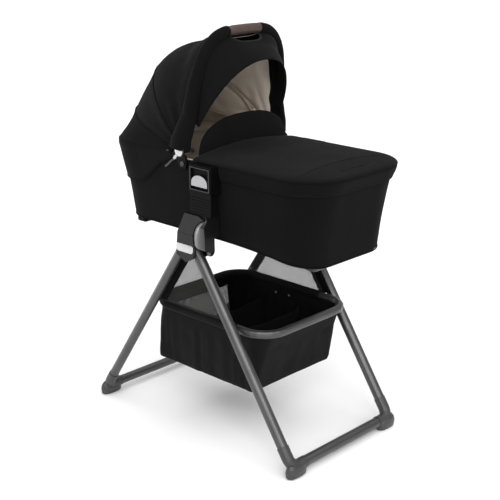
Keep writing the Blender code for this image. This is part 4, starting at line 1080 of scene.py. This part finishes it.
def bow_line(bow, lift, cols=121, low=0.045):
    t_low = (1 / math.pi) * math.asin((low / bow[1]) ** (bow[3] / 2))
    pts = []
    for j in range(cols):
        t = t_low + (1 - 2 * t_low) * j / (cols - 1)
        s, y = arch_point(0, bow[1] + lift, bow[2] + lift, bow[3], t)
        pts.append(spoke(bow[0], s, y))
    return np.array(pts)


def turned(line, degrees):
    """The line turned about the pivot axis by a small angle."""
    a = math.radians(degrees)
    out = line.copy()
    dx, dz = line[:, 0] - CAN_X, line[:, 2] - CAN_Z
    out[:, 0] = CAN_X + dx * math.cos(a) + dz * math.sin(a)
    out[:, 2] = CAN_Z - dx * math.sin(a) + dz * math.cos(a)
    return out


strip_rows = []
for grow, z in ((-0.0005, 0.8120), (-0.0060, 0.8090), (-0.0120, 0.8055), (-0.0180, 0.8018), (-0.0226, 0.7968), (-0.0242, 0.7900)):
    row = [head_point(0.045 + 0.955 * j / 60, z, grow) for j in range(61)]
    row += [np.array([q[0], -q[1], q[2]]) for q in reversed(row[:-1])]
    strip_rows.append(row)
g = np.array(strip_rows)
n, _ = grid_normals(g, False, (-0.12, 0, 0.76))
g = g + n * (0.0012 * field(g, 22.0, 87.0))[..., None]
# the strip is the darkened taupe: painted shade under the canopy's rear edge
piece = sheet("head_lining_strip", g, [TAUPE_PAINTED_SHADE], 0.0010, False, (-0.12, 0, 0.76))
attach(piece, "bassinet")

for tag, bow in (("mid", MID), ("rear", REAR)):
    hood(tube(f"canopy_seam_{tag}", bow_line(bow, 0.0000), 0.0019, BINDING, 8))
    hood(stitches(f"canopy_seam_stitching_{tag}", [turned(bow_line(bow, 0.0006, low=0.08), d) for d in (-0.95, 0.95)], THREAD))
    inner = bow_line(bow, -0.0125, low=0.100)
    for d, side_tag in ((-0.95, "a"), (0.95, "b")):
        # welts in the darkened taupe: painted shade inside the canopy
        hood(tube(f"canopy_lining_welt_{tag}_{side_tag}", turned(inner, d), 0.0036, TAUPE_PAINTED_SHADE, 10))
    hood(stitches(f"canopy_lining_stitching_{tag}", [turned(bow_line(bow, -0.0145, low=0.105), d) for d in (-2.1, 2.1)], TAUPE_THREAD))

# visor: stiffened cloth in front of the handle, with its bound edges
g = panel_grid(VIS0, VIS1, 0.0006, 0.0, 0.006, 1.0, 25, 121, 0.0800)
g = meet_handle(g, step(1 - np.linspace(0, 1, 25) / 0.45))
n, _ = grid_normals(g, False, IN_HOOD)
g = g + n * (0.0008 * field(g, 14.0, 91.0) + 0.0004 * field(g, 50.0, 93.0))[..., None]
visor_grid = g
# the upper face takes the lighter charcoal, painted light where it faces up; the underside takes the black twill
visor = sheet("visor_cloth", g, [CHARCOAL_PAINTED_LIGHT, BLACK], 0.0022, False, IN_HOOD, 1)
cut_slot(visor)
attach(visor, "handle")
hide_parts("visor")
bpy.data.objects.remove(slot_cut)
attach(tube("visor_front_binding", g[-1], 0.0019, BINDING, 8), "handle")
lip = []
flat = g.reshape(-1, 3)
for y in slot_ys[1:-1]:
    q = spoke(slot_angle(y), 1.0, 0.0) - np.array([CAN_X, 0, CAN_Z])
    ang = np.degrees(np.arctan2(flat[:, 0] - CAN_X, flat[:, 2] - CAN_Z))
    near = np.argsort(((ang - slot_angle(y)) * 0.0052) ** 2 + (flat[:, 1] - y) ** 2)[:4]
    reach = np.hypot(flat[near, 0] - CAN_X, flat[near, 2] - CAN_Z).mean()
    lip.append(np.array([CAN_X, y, CAN_Z]) + q * (reach - 0.0004))
lip = np.array(lip)
lip[1:-1] = (lip[:-2] + 2 * lip[1:-1] + lip[2:]) / 4
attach(tube("visor_slot_rim", resample(lip, 90), 0.0029, LIP, 10), "handle")
line = g[-1] * 0.70 + g[-2] * 0.30
n, _ = grid_normals(g, False, IN_HOOD)
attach(stitches("visor_stitching", [line + n[-1] * 0.0004], THREAD), "handle")

# carry handle: padded sleeve that widens towards its ends, with a seam along the back
path = []
for i in range(161):
    s, yy = arch_point(HANDLE_ANGLE, HANDLE_R, HANDLE_W, HANDLE_N, i / 160)
    if s > 0.050:
        path.append(spoke(HANDLE_ANGLE, s, yy))
low_pts = [spoke(HANDLE_ANGLE, s, -HANDLE_W) for s in (0.009, 0.016, 0.024, 0.034, 0.044)]
path = low_pts + path + [np.array([q[0], -q[1], q[2]]) for q in reversed(low_pts)]
path = resample(path, 170)
s_of = np.hypot(path[:, 0] - CAN_X, path[:, 2] - CAN_Z)
path[:, 1] += np.sign(path[:, 1]) * np.interp(s_of, [0, 0.035, 0.10], [0.0195, 0.0170, 0.0])
axis_dir = spoke(HANDLE_ANGLE + 90, 1.0, 0.0) - np.array([CAN_X, 0, CAN_Z])
wide = np.interp(s_of, [0, 0.025, 0.05, 0.09, 0.134, 0.18, 0.22, 0.26, 0.4], [0.0345, 0.0340, 0.0312, 0.0268, 0.0226, 0.0186, 0.0163, 0.0153, 0.0150])
back = np.interp(s_of, [0, 0.025, 0.05, 0.09, 0.134, 0.20, 0.26], [0.0085, 0.0080, 0.0060, 0.0040, 0.0032, 0.0010, 0.0])
thin = np.interp(s_of, [0, 0.03, 0.085, 0.12, 0.4], [0.0232, 0.0215, 0.0155, 0.0150, 0.0150])
sides_n = 28
t_dir, _, _ = carried(path)
ring_verts = []
for i in range(len(path)):
    a = axis_dir - t_dir[i] * (axis_dir @ t_dir[i])
    a /= np.linalg.norm(a)
    b = np.cross(t_dir[i], a)
    centre = path[i] - a * back[i]
    row = []
    for k in range(sides_n):
        q = 2 * math.pi * k / sides_n
        row.append(centre + a * math.cos(q) * wide[i] + b * math.sin(q) * thin[i])
    ring_verts.append(row)
g = np.array(ring_verts)
centre_line = g.mean(1)
outward = g - centre_line[:, None]
outward /= np.linalg.norm(outward, axis=2)[..., None]
wr = 0.0009 * field(g, 26.0, 101.0) + 0.0005 * field(g, 80.0, 103.0)
g = g + outward * wr[..., None]
grip_len = 0.0590
mid_i = np.abs(centre_line[:, 1]) < grip_len
g[mid_i] = centre_line[mid_i][:, None] + outward[mid_i] * 0.0105
verts = g.reshape(-1, 3)
faces = grid_faces(len(g), sides_n, True)
faces += [tuple(range(sides_n - 1, -1, -1)), tuple((len(g) - 1) * sides_n + k for k in range(sides_n))]
along = np.concatenate([[0], np.cumsum(np.linalg.norm(np.diff(centre_line, axis=0), axis=1))])
uv = np.stack([np.broadcast_to(np.arange(sides_n) / sides_n * 0.1, g.shape[:2]), np.broadcast_to(along[:, None], g.shape[:2])], -1)
handle = make("handle_sleeve", verts, faces, [BLACK], uv.reshape(-1, 2), 0.1)
bm = bmesh.new()
bm.from_mesh(handle.data)
bmesh.ops.recalc_face_normals(bm, faces=bm.faces)
bm.to_mesh(handle.data)
bm.free()
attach(handle, "handle")
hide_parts("carry_handle")
keep = s_of > 0.03
for tag, sign in (("back", -1.0), ("front", 1.0)):
    for part, pick in (("near", centre_line[:, 1] < -grip_len - 0.004), ("far", centre_line[:, 1] > grip_len + 0.004)):
        k = sides_n // 2 if sign < 0 else 0
        line = g[pick & keep][:, k] + outward[pick & keep][:, k] * 0.0004
        if tag == "back":
            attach(tube(f"handle_seam_{part}", line, 0.0013, BINDING, 6), "handle")
        side_line = g[pick & keep][:, (k + 2) % sides_n] + outward[pick & keep][:, (k + 2) % sides_n] * 0.0003
        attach(stitches(f"handle_stitching_{tag}_{part}", [side_line], THREAD), "handle")

# grip: leather wrapped over padding, with end collars and a stitched seam below
steps = 61
grip_line = np.array([spoke(HANDLE_ANGLE, *arch_point(HANDLE_ANGLE, HANDLE_R, HANDLE_W, HANDLE_N, 0.5 + (i / (steps - 1) - 0.5) * 0.1110)) for i in range(steps)])
u = np.linspace(-1, 1, steps)
radii = 0.0122 + 0.0008 * (1 - u ** 4) - 0.0012 * np.exp(-((np.abs(u) - 1) / 0.05) ** 2)
radii += 0.0003 * field(grip_line, 60.0, 111.0)
grip = tube("grip_leather", grip_line, radii, GRIP, 32)
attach(grip, "handle")
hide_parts("handle_grip")
for tag, i0, i1 in (("near", -3, 3), ("far", steps - 3, steps + 3)):
    ends = [0.5 + (i / (steps - 1) - 0.5) * 0.1110 for i in range(i0, i1)]
    line = np.array([spoke(HANDLE_ANGLE, *arch_point(HANDLE_ANGLE, HANDLE_R, HANDLE_W, HANDLE_N, t)) for t in ends])
    prof = 0.0124 + 0.0014 * np.sin(np.linspace(0.15, math.pi - 0.15, len(line))) ** 0.5
    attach(tube(f"grip_collar_{tag}", line, prof, STEEL if tag == "near" else BEZEL, 32), "handle")
t_dir, _, _ = carried(grip_line)
below = []
for i in range(4, steps - 4):
    down = np.array([CAN_X, 0, CAN_Z]) - grip_line[i]
    down -= t_dir[i] * (down @ t_dir[i])
    down /= np.linalg.norm(down)
    below.append(grip_line[i] + down * (radii[i] + 0.0002))
below = np.array(below)
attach(tube("grip_seam", below, 0.0009, GRIP, 6), "handle")
side_off = np.array([axis_dir * 0.0040])
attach(stitches("grip_stitching", [below + side_off + np.array([0, 0, 0.0005]), below - side_off + np.array([0, 0, 0.0005])], GRIP_THREAD, 0.0048, 0.0032), "handle")

# pivot cap, its surround, the bright wedge and the pull tag beside it
for side, sy in SIDES:
    for tag, y0, y1, r0, mat in (("surround", 0.2056, 0.2072, 0.0180, BEZEL), ("cap", 0.2064, 0.2092, 0.0150, CHROME)):
        pts = [np.array([-0.0430, sy * (y0 + (y1 - y0) * t), 0.8200]) for t in (0, 0.30, 0.62, 0.84, 0.96, 1.0)]
        rad = [r0, r0, r0 * 0.94, r0 * 0.78, r0 * 0.48, r0 * 0.10]
        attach(tube(f"pivot_{tag}_{side}", pts, rad, mat, 32, False, 1.0, (1, 0, 0)), "bassinet")
    wedge = [(-0.0660, 0.7975), (-0.0540, 0.8105), (-0.0515, 0.8040), (-0.0600, 0.7950)]
    v = [(x, sy * y, z) for y in (0.2030, 0.2066) for x, z in wedge]
    f = [(0, 1, 2, 3), (7, 6, 5, 4)] + [(i, (i + 1) % 4, 4 + (i + 1) % 4, 4 + i) for i in range(4)]
    obj = make(f"pivot_wedge_{side}", v, f, CHROME)
    mod = obj.modifiers.new("edges", "BEVEL")
    mod.width, mod.segments = 0.0008, 2
    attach(obj, "bassinet")
    curve = np.array([(-0.0620, sy * 0.2050, 0.7965), (-0.0720, sy * 0.2072, 0.7895), (-0.0820, sy * 0.2080, 0.7810), (-0.0900, sy * 0.2078, 0.7740), (-0.0985, sy * 0.2070, 0.7695)])
    curve = resample(curve, 24)
    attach(tube(f"pull_tag_{side}", curve, 0.0026, WEBBING, 10, False, 0.22, (0, 0, 1)), "bassinet")


# ---------------------------------------------------------------- housings, posts and hubs
def frame_strip(name, outline, width, y0, y1, mat, body):
    """A raised frame that follows an outline in X and Z."""
    p = np.array(outline, float)
    c = p.mean(0)
    inner = c + (p - c) * (1 - width / np.abs(p - c))
    n = len(p)
    v = [(x, y, z) for y, ring in ((y0, p), (y1, p), (y1, inner), (y0, inner)) for x, z in ring]
    f = []
    for i in range(4):
        j = (i + 1) % 4
        for k in range(n):
            m = (k + 1) % n
            f.append((i * n + k, i * n + m, j * n + m, j * n + k))
    obj = make(name, v, f, mat, sharp=35)
    bm = bmesh.new()
    bm.from_mesh(obj.data)
    bmesh.ops.recalc_face_normals(bm, faces=bm.faces)
    bm.to_mesh(obj.data)
    bm.free()
    mod = obj.modifiers.new("edges", "BEVEL")
    mod.width, mod.segments, mod.limit_method = 0.0005, 2, "ANGLE"
    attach(obj, body)
    return obj


for side, sy in SIDES:
    key = bpy.data.objects.new(f"release_button_face_{side}", NODES[f"release_button_{side}"].data.copy())
    bpy.context.scene.collection.objects.link(key)
    z_low = min(v.co.z for v in key.data.vertices)
    for v in key.data.vertices:
        v.co.z = z_low + 0.0010 + (v.co.z - z_low) * 0.80
    mod = key.modifiers.new("edges", "BEVEL")
    mod.width, mod.segments, mod.limit_method, mod.angle_limit = 0.0012, 3, "ANGLE", math.radians(30)
    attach(key, f"mount_button_{side}")
    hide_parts(f"release_button_{side}")
    frame_strip(f"housing_bezel_{side}", [(0.0275, 0.7330), (0.0995, 0.7330), (0.0995, 0.7950), (0.0275, 0.7950)], 0.0026, sy * 0.2325, sy * 0.2352, BEZEL, "bassinet")
    parts = []
    for z in (0.672, 0.680, 0.688, 0.696, 0.704, 0.712):
        v = [(x, sy * y, z + dz) for x in (0.0265, 0.1005) for y, dz in ((0.2312, -0.0012), (0.2326, -0.0005), (0.2326, 0.0005), (0.2312, 0.0012))]
        parts.append((v, [(0, 1, 2, 3), (7, 6, 5, 4), (0, 4, 5, 1), (1, 5, 6, 2), (2, 6, 7, 3), (3, 7, 4, 0)]))
    v, f = join_data(parts)
    obj = make(f"post_ribs_{side}", v, f, BLACK_SHELL, sharp=35)
    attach(obj, "stand_hubs")

    # trim plate with round corners, bare
    outline = []
    for cx, cz, start_a in ((0.0295, 0.5665, 0), (-0.0173, 0.5665, 90), (-0.0173, 0.5615, 180), (0.0295, 0.5615, 270)):
        for i in range(9):
            q = math.radians(start_a + 90 * i / 8)
            outline.append((cx + 0.0092 * math.cos(q), cz + 0.0092 * math.sin(q)))
    layers = []
    for y, shrink in ((0.2367, 0.0), (0.2376, 0.0), (0.2381, 0.0004), (0.2383, 0.0012)):
        c = np.array([0.0061, 0.5640])
        p = np.array(outline)
        d = p - c
        p = c + d * (1 - shrink / np.linalg.norm(d, axis=1))[:, None]
        layers.append([(px, sy * y, pz) for px, pz in p])
    n_o = len(outline)
    v = np.array(layers).reshape(-1, 3)
    f = grid_faces(4, n_o, True) + [tuple(range(n_o - 1, -1, -1)), tuple(3 * n_o + k for k in range(n_o))]
    plate = merged(make(f"trim_plate_{side}", v, f, CHROME, sharp=50))
    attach(plate, f"fold_latch_{side}")
    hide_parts(f"hub_trim_plate_{side}")

    # the blade-shaped shoulder: it rises from its curved left side to a crest, and drops away on the foot side
    arc_x, arc_z, arc_r = 0.0985, 0.5975, 0.0600
    left = [(0.0870, 0.6640)]
    for i in range(33):
        q = math.radians(100 + i * (203.5 - 100) / 32)
        left.append((arc_x + arc_r * math.cos(q), arc_z + arc_r * math.sin(q)))
    left += [(0.0500, 0.5700), (0.0630, 0.5660), (0.0660, 0.5600), (0.0690, 0.5545)]
    left = resample(left, 56)
    right = np.interp(left[:, 1], [0.5545, 0.5620, 0.5700, 0.6100, 0.6560, 0.6640], [0.0890, 0.0950, 0.0975, 0.0965, 0.0925, 0.0905])
    across = 18
    g = np.zeros((len(left), across + 3, 3))
    for i, (lx, lz) in enumerate(left):
        width = max(right[i] - lx, 0.002)
        size = float(np.clip(width / 0.040, 0.25, 1.0))
        sink = 0.0205 * float(step((0.5790 - lz) / 0.011))
        for j in range(across + 3):
            t = min(1.0, max(0.0, (j - 1) / across))
            rise = 0.0158 * size * (1 - max(0.0, 1 - t / 0.84) ** 2.2) - 0.0012 * max(0.0, (t - 0.84) / 0.16) ** 2
            g[i, j] = (lx + width * t, sy * (0.2343 + rise - sink), lz)
    g[:, 0, 1] = sy * 0.2120
    g[:, -1, 1] = sy * 0.2120
    inner = g.copy()
    inner[:, :, 1] = sy * 0.2118
    verts = np.vstack([g.reshape(-1, 3), inner.reshape(-1, 3)])
    r_n, c_n = g.shape[:2]
    off = r_n * c_n
    faces = grid_faces(r_n, c_n) + grid_faces(r_n, c_n, False, off, True)
    for j in range(c_n - 1):
        faces += [(j + 1, j, off + j, off + j + 1), ((r_n - 1) * c_n + j, (r_n - 1) * c_n + j + 1, off + (r_n - 1) * c_n + j + 1, off + (r_n - 1) * c_n + j)]
    for i in range(r_n - 1):
        a, b = i * c_n, (i + 1) * c_n
        faces += [(a, b, off + b, off + a), (b + c_n - 1, a + c_n - 1, off + a + c_n - 1, off + b + c_n - 1)]
    front_n = (r_n - 1) * (c_n - 1)
    # the last column of the front, the wall on the foot side, takes the darker bracket material: painted shade on the
    # face turned from the light
    picks = [1 if k < front_n and k % (c_n - 1) >= c_n - 2 else 0 for k in range(len(faces))]
    obj = merged(make(f"hub_blade_{side}", verts, faces, [BLADE_SHELL, BRACKET], face_mats=picks, sharp=50), 1e-6)
    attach(obj, "stand_hubs")
    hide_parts(f"hub_shoulder_{side}")

# pads under the foot end of the base
parts = []
for sy in (-1, 1):
    rings = []
    for z, grow in ((0.5800, 0.0), (0.5600, 0.0), (0.5470, -0.0010), (0.5438, -0.0035), (0.5430, -0.0070)):
        p = resample(rounded_plan(0.3180 - grow, 0.3580 + grow, 0.0265 + grow, 0.008, 0.008, 6), 40, True)
        rings.append(np.column_stack([p[:, 0], p[:, 1] + sy * 0.0815, np.full(40, z)]))
    v = np.array(rings).reshape(-1, 3)
    f = grid_faces(5, 40, True) + [tuple(range(39, -1, -1)), tuple(160 + k for k in range(40))]
    parts.append((v, f))
v, f = join_data(parts)
pads = merged(make("foot_end_pads", v, f, FOOT_SHELL, sharp=50))
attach(pads, "bassinet")
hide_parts("base_skid_foot")


# ---------------------------------------------------------------- basket
bag_top = RING_Z - RING_R - 0.0018
IN_BAG = (0.02, 0.0, 0.26)
BAG_STEPS = ((-0.186, 0.186, 0.160, BAG_FLOOR_Z), (-0.193, 0.193, 0.1665, BAG_FLOOR_Z + 0.006),
             (-0.192, 0.204, 0.1690, 0.220), (-0.190, 0.226, 0.1710, 0.300), (-0.188, 0.240, 0.1725, bag_top))
zs = [s[3] for s in BAG_STEPS]


def bag_level(z):
    x0, x1, half = (float(np.interp(z, zs, [s[m] for s in BAG_STEPS])) for m in (0, 1, 2))
    rc = 0.013 + 0.030 * (z - BAG_FLOOR_Z) / (bag_top - BAG_FLOOR_Z)
    return x0, x1, half, rc


def bag_ring(z, inset=0.0, at=None):
    """Points round the bag at even shares of each side and corner, so that columns line up from ring to ring."""
    x0, x1, half, rc = bag_level(z)
    x0, x1, half, rc = x0 + inset, x1 - inset, half - inset, max(0.004, rc - inset)
    pts = []
    long, short, turn = 70, 44, 9
    def line(a, b, m):
        return [(a[0] + (b[0] - a[0]) * i / m, a[1] + (b[1] - a[1]) * i / m) for i in range(m)]
    def arc(cx, cy, start, m):
        return [(cx + rc * math.cos(math.radians(start + 90 * i / m)), cy + rc * math.sin(math.radians(start + 90 * i / m))) for i in range(m)]
    pts += line((x0 + rc, -half), (x1 - rc, -half), long) + arc(x1 - rc, -half + rc, -90, turn)
    pts += line((x1, -half + rc), (x1, half - rc), short) + arc(x1 - rc, half - rc, 0, turn)
    pts += line((x1 - rc, half), (x0 + rc, half), long) + arc(x0 + rc, half - rc, 90, turn)
    pts += line((x0, half - rc), (x0, -half + rc), short) + arc(x0 + rc, -half + rc, 180, turn)
    return np.column_stack([np.array(pts), np.full(len(pts), z if at is None else at)])


rows = [bag_ring(BAG_FLOOR_Z + 0.006, i, BAG_FLOOR_Z) for i in (0.120, 0.080, 0.045, 0.020, 0.010)]
rows += [bag_ring(BAG_FLOOR_Z + 0.006, 0.0030, BAG_FLOOR_Z + 0.0018), bag_ring(BAG_FLOOR_Z + 0.006, 0.0006, BAG_FLOOR_Z + 0.0050)]
BAG_Z = np.linspace(BAG_FLOOR_Z + 0.0095, 0.3360, 30)
for z in BAG_Z:
    rows.append(bag_ring(z))
rows += [bag_ring(bag_top, -0.0010, 0.3400), bag_ring(bag_top, -0.0030, 0.3440), bag_ring(bag_top, -0.0045, 0.3480), bag_ring(bag_top, -0.0048, 0.3510)]
g = np.array(rows)
n, _ = grid_normals(g, True, IN_BAG)
x, y, z = g[..., 0], g[..., 1], g[..., 2]
side_wall = np.clip((np.abs(y) - 0.135) / 0.012, 0, 1) * np.clip((0.225 - x) / 0.03, 0, 1)
hang = np.clip((0.318 - z) / 0.03, 0, 1) * np.clip((z - 0.170) / 0.012, 0.2, 1)
folds = (0.30 * np.sin(x * 78 + 2.4 * np.sin(x * 27)) + 0.16 * np.sin(x * 171 + 1.3 + 2.0 * np.sin(x * 41)) + 0.85 * field(g, 24.0, 121.0, (1, 1, 0.16)))
end_wall = np.clip((x - 0.18) / 0.01, 0, 1)
sag = -0.0060 * np.sin(math.pi * np.clip((z - BAG_FLOOR_Z) / (bag_top - BAG_FLOOR_Z), 0, 1)) * np.clip(1 - (y / 0.15) ** 2, 0, 1) * end_wall
push = 0.0042 * folds * side_wall * hang + sag + 0.0018 * field(g, 26.0, 127.0) * hang
floor_sag = np.where(z < BAG_FLOOR_Z + 0.004, 1.0, 0.0)
seam = np.exp(-((z - 0.3215) / 0.0013) ** 2) + np.exp(-((z - 0.1775) / 0.0012) ** 2) * 0.7
g = g + n * (push - 0.0011 * seam)[..., None]
g[..., 2] += 0.0016 * floor_sag * field(g, 14.0, 131.0)
g[..., 2] = np.maximum(g[..., 2], BAG_FLOOR_Z - 0.0015)
HEAD_FIRST = 70 + 9 + 44 + 9 + 70 + 9
row_of = lambda zz: int(np.argmin(np.abs(g[:, 0, 2] - zz)))
win_lo, win_hi = row_of(0.2240), row_of(0.3185)


def window(i, j):
    if HEAD_FIRST + 1 <= j < HEAD_FIRST + 43 and win_lo <= i < win_hi:
        return 1
    return None


bag = sheet("basket_bag_cloth", g, [BAG_CLOTH, MESH], 0.0014, True, IN_BAG, None, window, ("first",))
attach(bag, "basket")
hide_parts("basket_bag")
# binding round the window
corner = [g[win_lo, HEAD_FIRST + 1], g[win_lo, HEAD_FIRST + 43], g[win_hi, HEAD_FIRST + 43], g[win_hi, HEAD_FIRST + 1]]
loop = [g[win_lo, j] for j in range(HEAD_FIRST + 1, HEAD_FIRST + 44)] + [g[i, HEAD_FIRST + 43] for i in range(win_lo + 1, win_hi)]
loop += [g[win_hi, j] for j in range(HEAD_FIRST + 43, HEAD_FIRST, -1)] + [g[i, HEAD_FIRST + 1] for i in range(win_hi - 1, win_lo, -1)]
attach(tube("basket_window_binding", resample(np.array(loop) + np.array([0.0007, 0, 0]), 160, True), 0.0022, BINDING, 8, True), "basket")

# hem band: a sleeve on the near, head and far rails with a row of stitches under the tube
ring_path = np.column_stack([resample(rounded_plan(RING_X0, RING_X1, RING_HALF_W, RING_CORNER, RING_CORNER), 360, True), np.full(360, RING_Z)])
start = int(np.argmin(np.abs(ring_path[:, 0] - SLEEVE_X) + 10 * (ring_path[:, 1] < 0)))
order = [ring_path[(start + i) % 360] for i in range(360)]
hem_path = []
for q in order:
    if q[0] > SLEEVE_X + 0.001:
        break
    hem_path.append(q)
hem_path = resample(hem_path, 200)
radii = (RING_R + 0.0022) + 0.0005 * field(hem_path, 40.0, 141.0)
band = tube("basket_hem_sleeve", hem_path, radii, BAG_CLOTH, 20)
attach(band, "basket")
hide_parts("basket_hem_band")
lines = []
for dz in (-0.0150, -0.0195):
    line = hem_path.copy()
    _, a, b = carried(line)
    centre = np.array([0.03, 0.0, 0.0])
    outward = line - centre
    outward[:, 2] = 0
    outward /= np.linalg.norm(outward, axis=1)[:, None]
    line = line + np.array([0, 0, dz])
    x0, x1, half, rc = bag_level(RING_Z + dz)
    lines.append(line + outward * (-0.0062))
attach(stitches("basket_hem_stitching", lines, THREAD), "basket")

for tag, xd, node in (("head", -0.055, "basket_divider_head"), ("foot", 0.085, "basket_divider_foot")):
    g = np.zeros((18, 61, 3))
    for i in range(18):
        k = i / 17
        for j in range(61):
            v = -1 + 2 * j / 60
            half_y = 0.135 + 0.026 * k
            top = 0.300 + 0.018 * abs(v) ** 3
            zz = 0.1785 + (top - 0.1785) * k
            bend = 0.0060 * k * math.sin(v * 9.0 + (0 if tag == "head" else 1.4)) * (0.35 + abs(v)) * 0.7 + 0.0050 * k * math.sin(3.1 * v)
            g[i, j] = (xd + bend, v * half_y, zz)
    piece = sheet(f"basket_divider_{tag}_cloth", g, [BAG_CLOTH], 0.0011, False, (xd - 1, 0, 0.25))
    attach(piece, "basket")
    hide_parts(node)
    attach(tube(f"basket_divider_{tag}_binding", g[-1], 0.0013, BINDING, 8), "basket")

for i, (xs, zsn) in enumerate(((-0.0235, 0.3235), (0.0293, 0.3255))):
    pts = [np.array([xs, 0.1675 - d, zsn]) for d in (0, 0.0010, 0.0018, 0.0022)]
    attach(tube(f"basket_snap_{i}", pts, [0.0038, 0.0038, 0.0030, 0.0012], STEEL, 18, False, 1.0, (1, 0, 0)), "basket")

# mesh sides with their bound edges and the sleeves on the legs
for side, sy in SIDES:
    low, high = RING_Z + 0.0070, 0.5290
    def x_left(z):
        return -SLOPE * (APEX_Z - z) - 0.004
    def x_right(z):
        return SLOPE * (APEX_Z - z) - 0.010
    g = np.zeros((34, 41, 3))
    for i in range(34):
        z = low + (high - low) * i / 33
        for j in range(41):
            k = j / 40
            g[i, j] = (x_left(z) + (x_right(z) - x_left(z)) * k, sy * 0.1865, z)
    g[..., 1] += sy * 0.0018 * field(g, 9.0, 151.0 + sy)
    piece = sheet(f"mesh_panel_{side}", g, [MESH], 0.0007, False, (0.0, 0.0, 0.45))
    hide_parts(f"mesh_side_{side}")
    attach(piece, "stand_hubs")
    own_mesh(piece)
    for end, body, edge_x, sign in (("head", "head_frame", x_left, 1.0), ("foot", "foot_frame", x_right, -1.0)):
        radius = 0.0135 if end == "head" else 0.0150
        rows = []
        for z in np.linspace(low + (0.0100 if end == "head" else 0.0), 0.538, 40):
            leg_x = sign * -1.0 * SLOPE * (APEX_Z - z)
            prof = []
            for a in np.linspace(100, 250, 12):
                # round the inner face of the tube
                q = math.radians(a)
                prof.append((leg_x + sign * (radius + 0.0011) * 0.83 * -math.cos(q), sy * (LEG_Y - (radius + 0.0011) * math.sin(q) * -1.0 * 0.0 - (radius + 0.0011) * math.cos(math.radians((a - 175) * 0.62)))))
            inner_x = leg_x + sign * 0.026
            strip = [(leg_x - sign * 0.010, sy * (LEG_Y - radius * 0.80)), (leg_x - sign * 0.004, sy * (LEG_Y - radius - 0.0010)), (leg_x + sign * 0.004, sy * (LEG_Y - radius - 0.0016)),
                     (leg_x + sign * 0.012, sy * 0.1906), (leg_x + sign * 0.020, sy * 0.1896), (leg_x + sign * 0.0285, sy * 0.1890)]
            strip = resample(strip, 12)
            rows.append([(px, py, z) for px, py in strip])
        g2 = np.array(rows)
        n, _ = grid_normals(g2, False, (0, 0, 0.45))
        g2 = g2 + n * (0.0006 * field(g2, 40.0, 161.0))[..., None]
        piece = sheet(f"leg_strip_{end}_{side}", g2, [BINDING], 0.0010, False, (0.0, 0.0, 0.45))
        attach(piece, body)
        line = g2[1:-1, -2] + n[1:-1, -2] * 0.0003
        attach(stitches(f"leg_strip_stitching_{end}_{side}", [line], THREAD), body)


# ---------------------------------------------------------------- floor and light
def stage_floor():
    mesh = bpy.data.meshes.new("floor")
    mesh.from_pydata([(-40, -40, 0), (40, -40, 0), (40, 40, 0), (-40, 40, 0)], [], [(0, 1, 2, 3)])
    floor = bpy.data.objects.new("floor", mesh)
    bpy.context.scene.collection.objects.link(floor)
    p = Paint("floor_white")
    p.bsdf.inputs["Base Color"].default_value = (0.90, 0.90, 0.90, 1)
    p.bsdf.inputs["Roughness"].default_value = 1.0
    p.bsdf.inputs["Specular IOR Level"].default_value = 0.0
    mesh.materials.append(p.mat)
    floor.location.z = -0.0004


def sun(name, energy, angle, toward):
    data = bpy.data.lights.new(name, "SUN")
    data.energy, data.angle = energy, math.radians(angle)
    obj = bpy.data.objects.new(name, data)
    bpy.context.scene.collection.objects.link(obj)
    obj.rotation_mode = "QUATERNION"
    obj.rotation_quaternion = Vector(toward).normalized().to_track_quat("Z", "Y")


def panel(name, energy, size, at, look):
    data = bpy.data.lights.new(name, "AREA")
    data.energy, data.shape, data.size, data.size_y = energy, "RECTANGLE", size[0], size[1]
    obj = bpy.data.objects.new(name, data)
    bpy.context.scene.collection.objects.link(obj)
    obj.location = at
    obj.rotation_mode = "QUATERNION"
    obj.rotation_quaternion = (Vector(at) - Vector(look)).to_track_quat("Z", "Y")


stage_floor()
world = bpy.data.worlds.new("studio")
bpy.context.scene.world = world
world.use_nodes = True
world.node_tree.nodes["Background"].inputs["Color"].default_value = (1, 1, 1, 1)
world.node_tree.nodes["Background"].inputs["Strength"].default_value = 0.46
# behind the floor's edge the room is as white as the floor
backdrop = world.node_tree.nodes.new("ShaderNodeBackground")
backdrop.inputs["Color"].default_value = (1, 1, 1, 1)
backdrop.inputs["Strength"].default_value = 1.0
seen = world.node_tree.nodes.new("ShaderNodeLightPath")
either = world.node_tree.nodes.new("ShaderNodeMixShader")
world.node_tree.links.new(seen.outputs["Is Camera Ray"], either.inputs[0])
world.node_tree.links.new(world.node_tree.nodes["Background"].outputs[0], either.inputs[1])
world.node_tree.links.new(backdrop.outputs[0], either.inputs[2])
world.node_tree.links.new(either.outputs[0], world.node_tree.nodes["World Output"].inputs["Surface"])
sun("overhead", 2.25, 92, (0.25, -0.10, 1.0))
sun("key", 1.50, 35, (0.62, -0.62, 0.52))
panel("strip", 5.0, (0.5, 2.2), (2.3, -0.6, 1.3), (0.0, 0.0, 0.55))
panel("edge", 11.0, (0.7, 2.0), (-2.45, -0.65, 0.8), (0.0, -0.1, 0.5))
bpy.context.scene.view_settings.view_transform = "Standard"
bpy.context.scene.view_settings.look = "None"
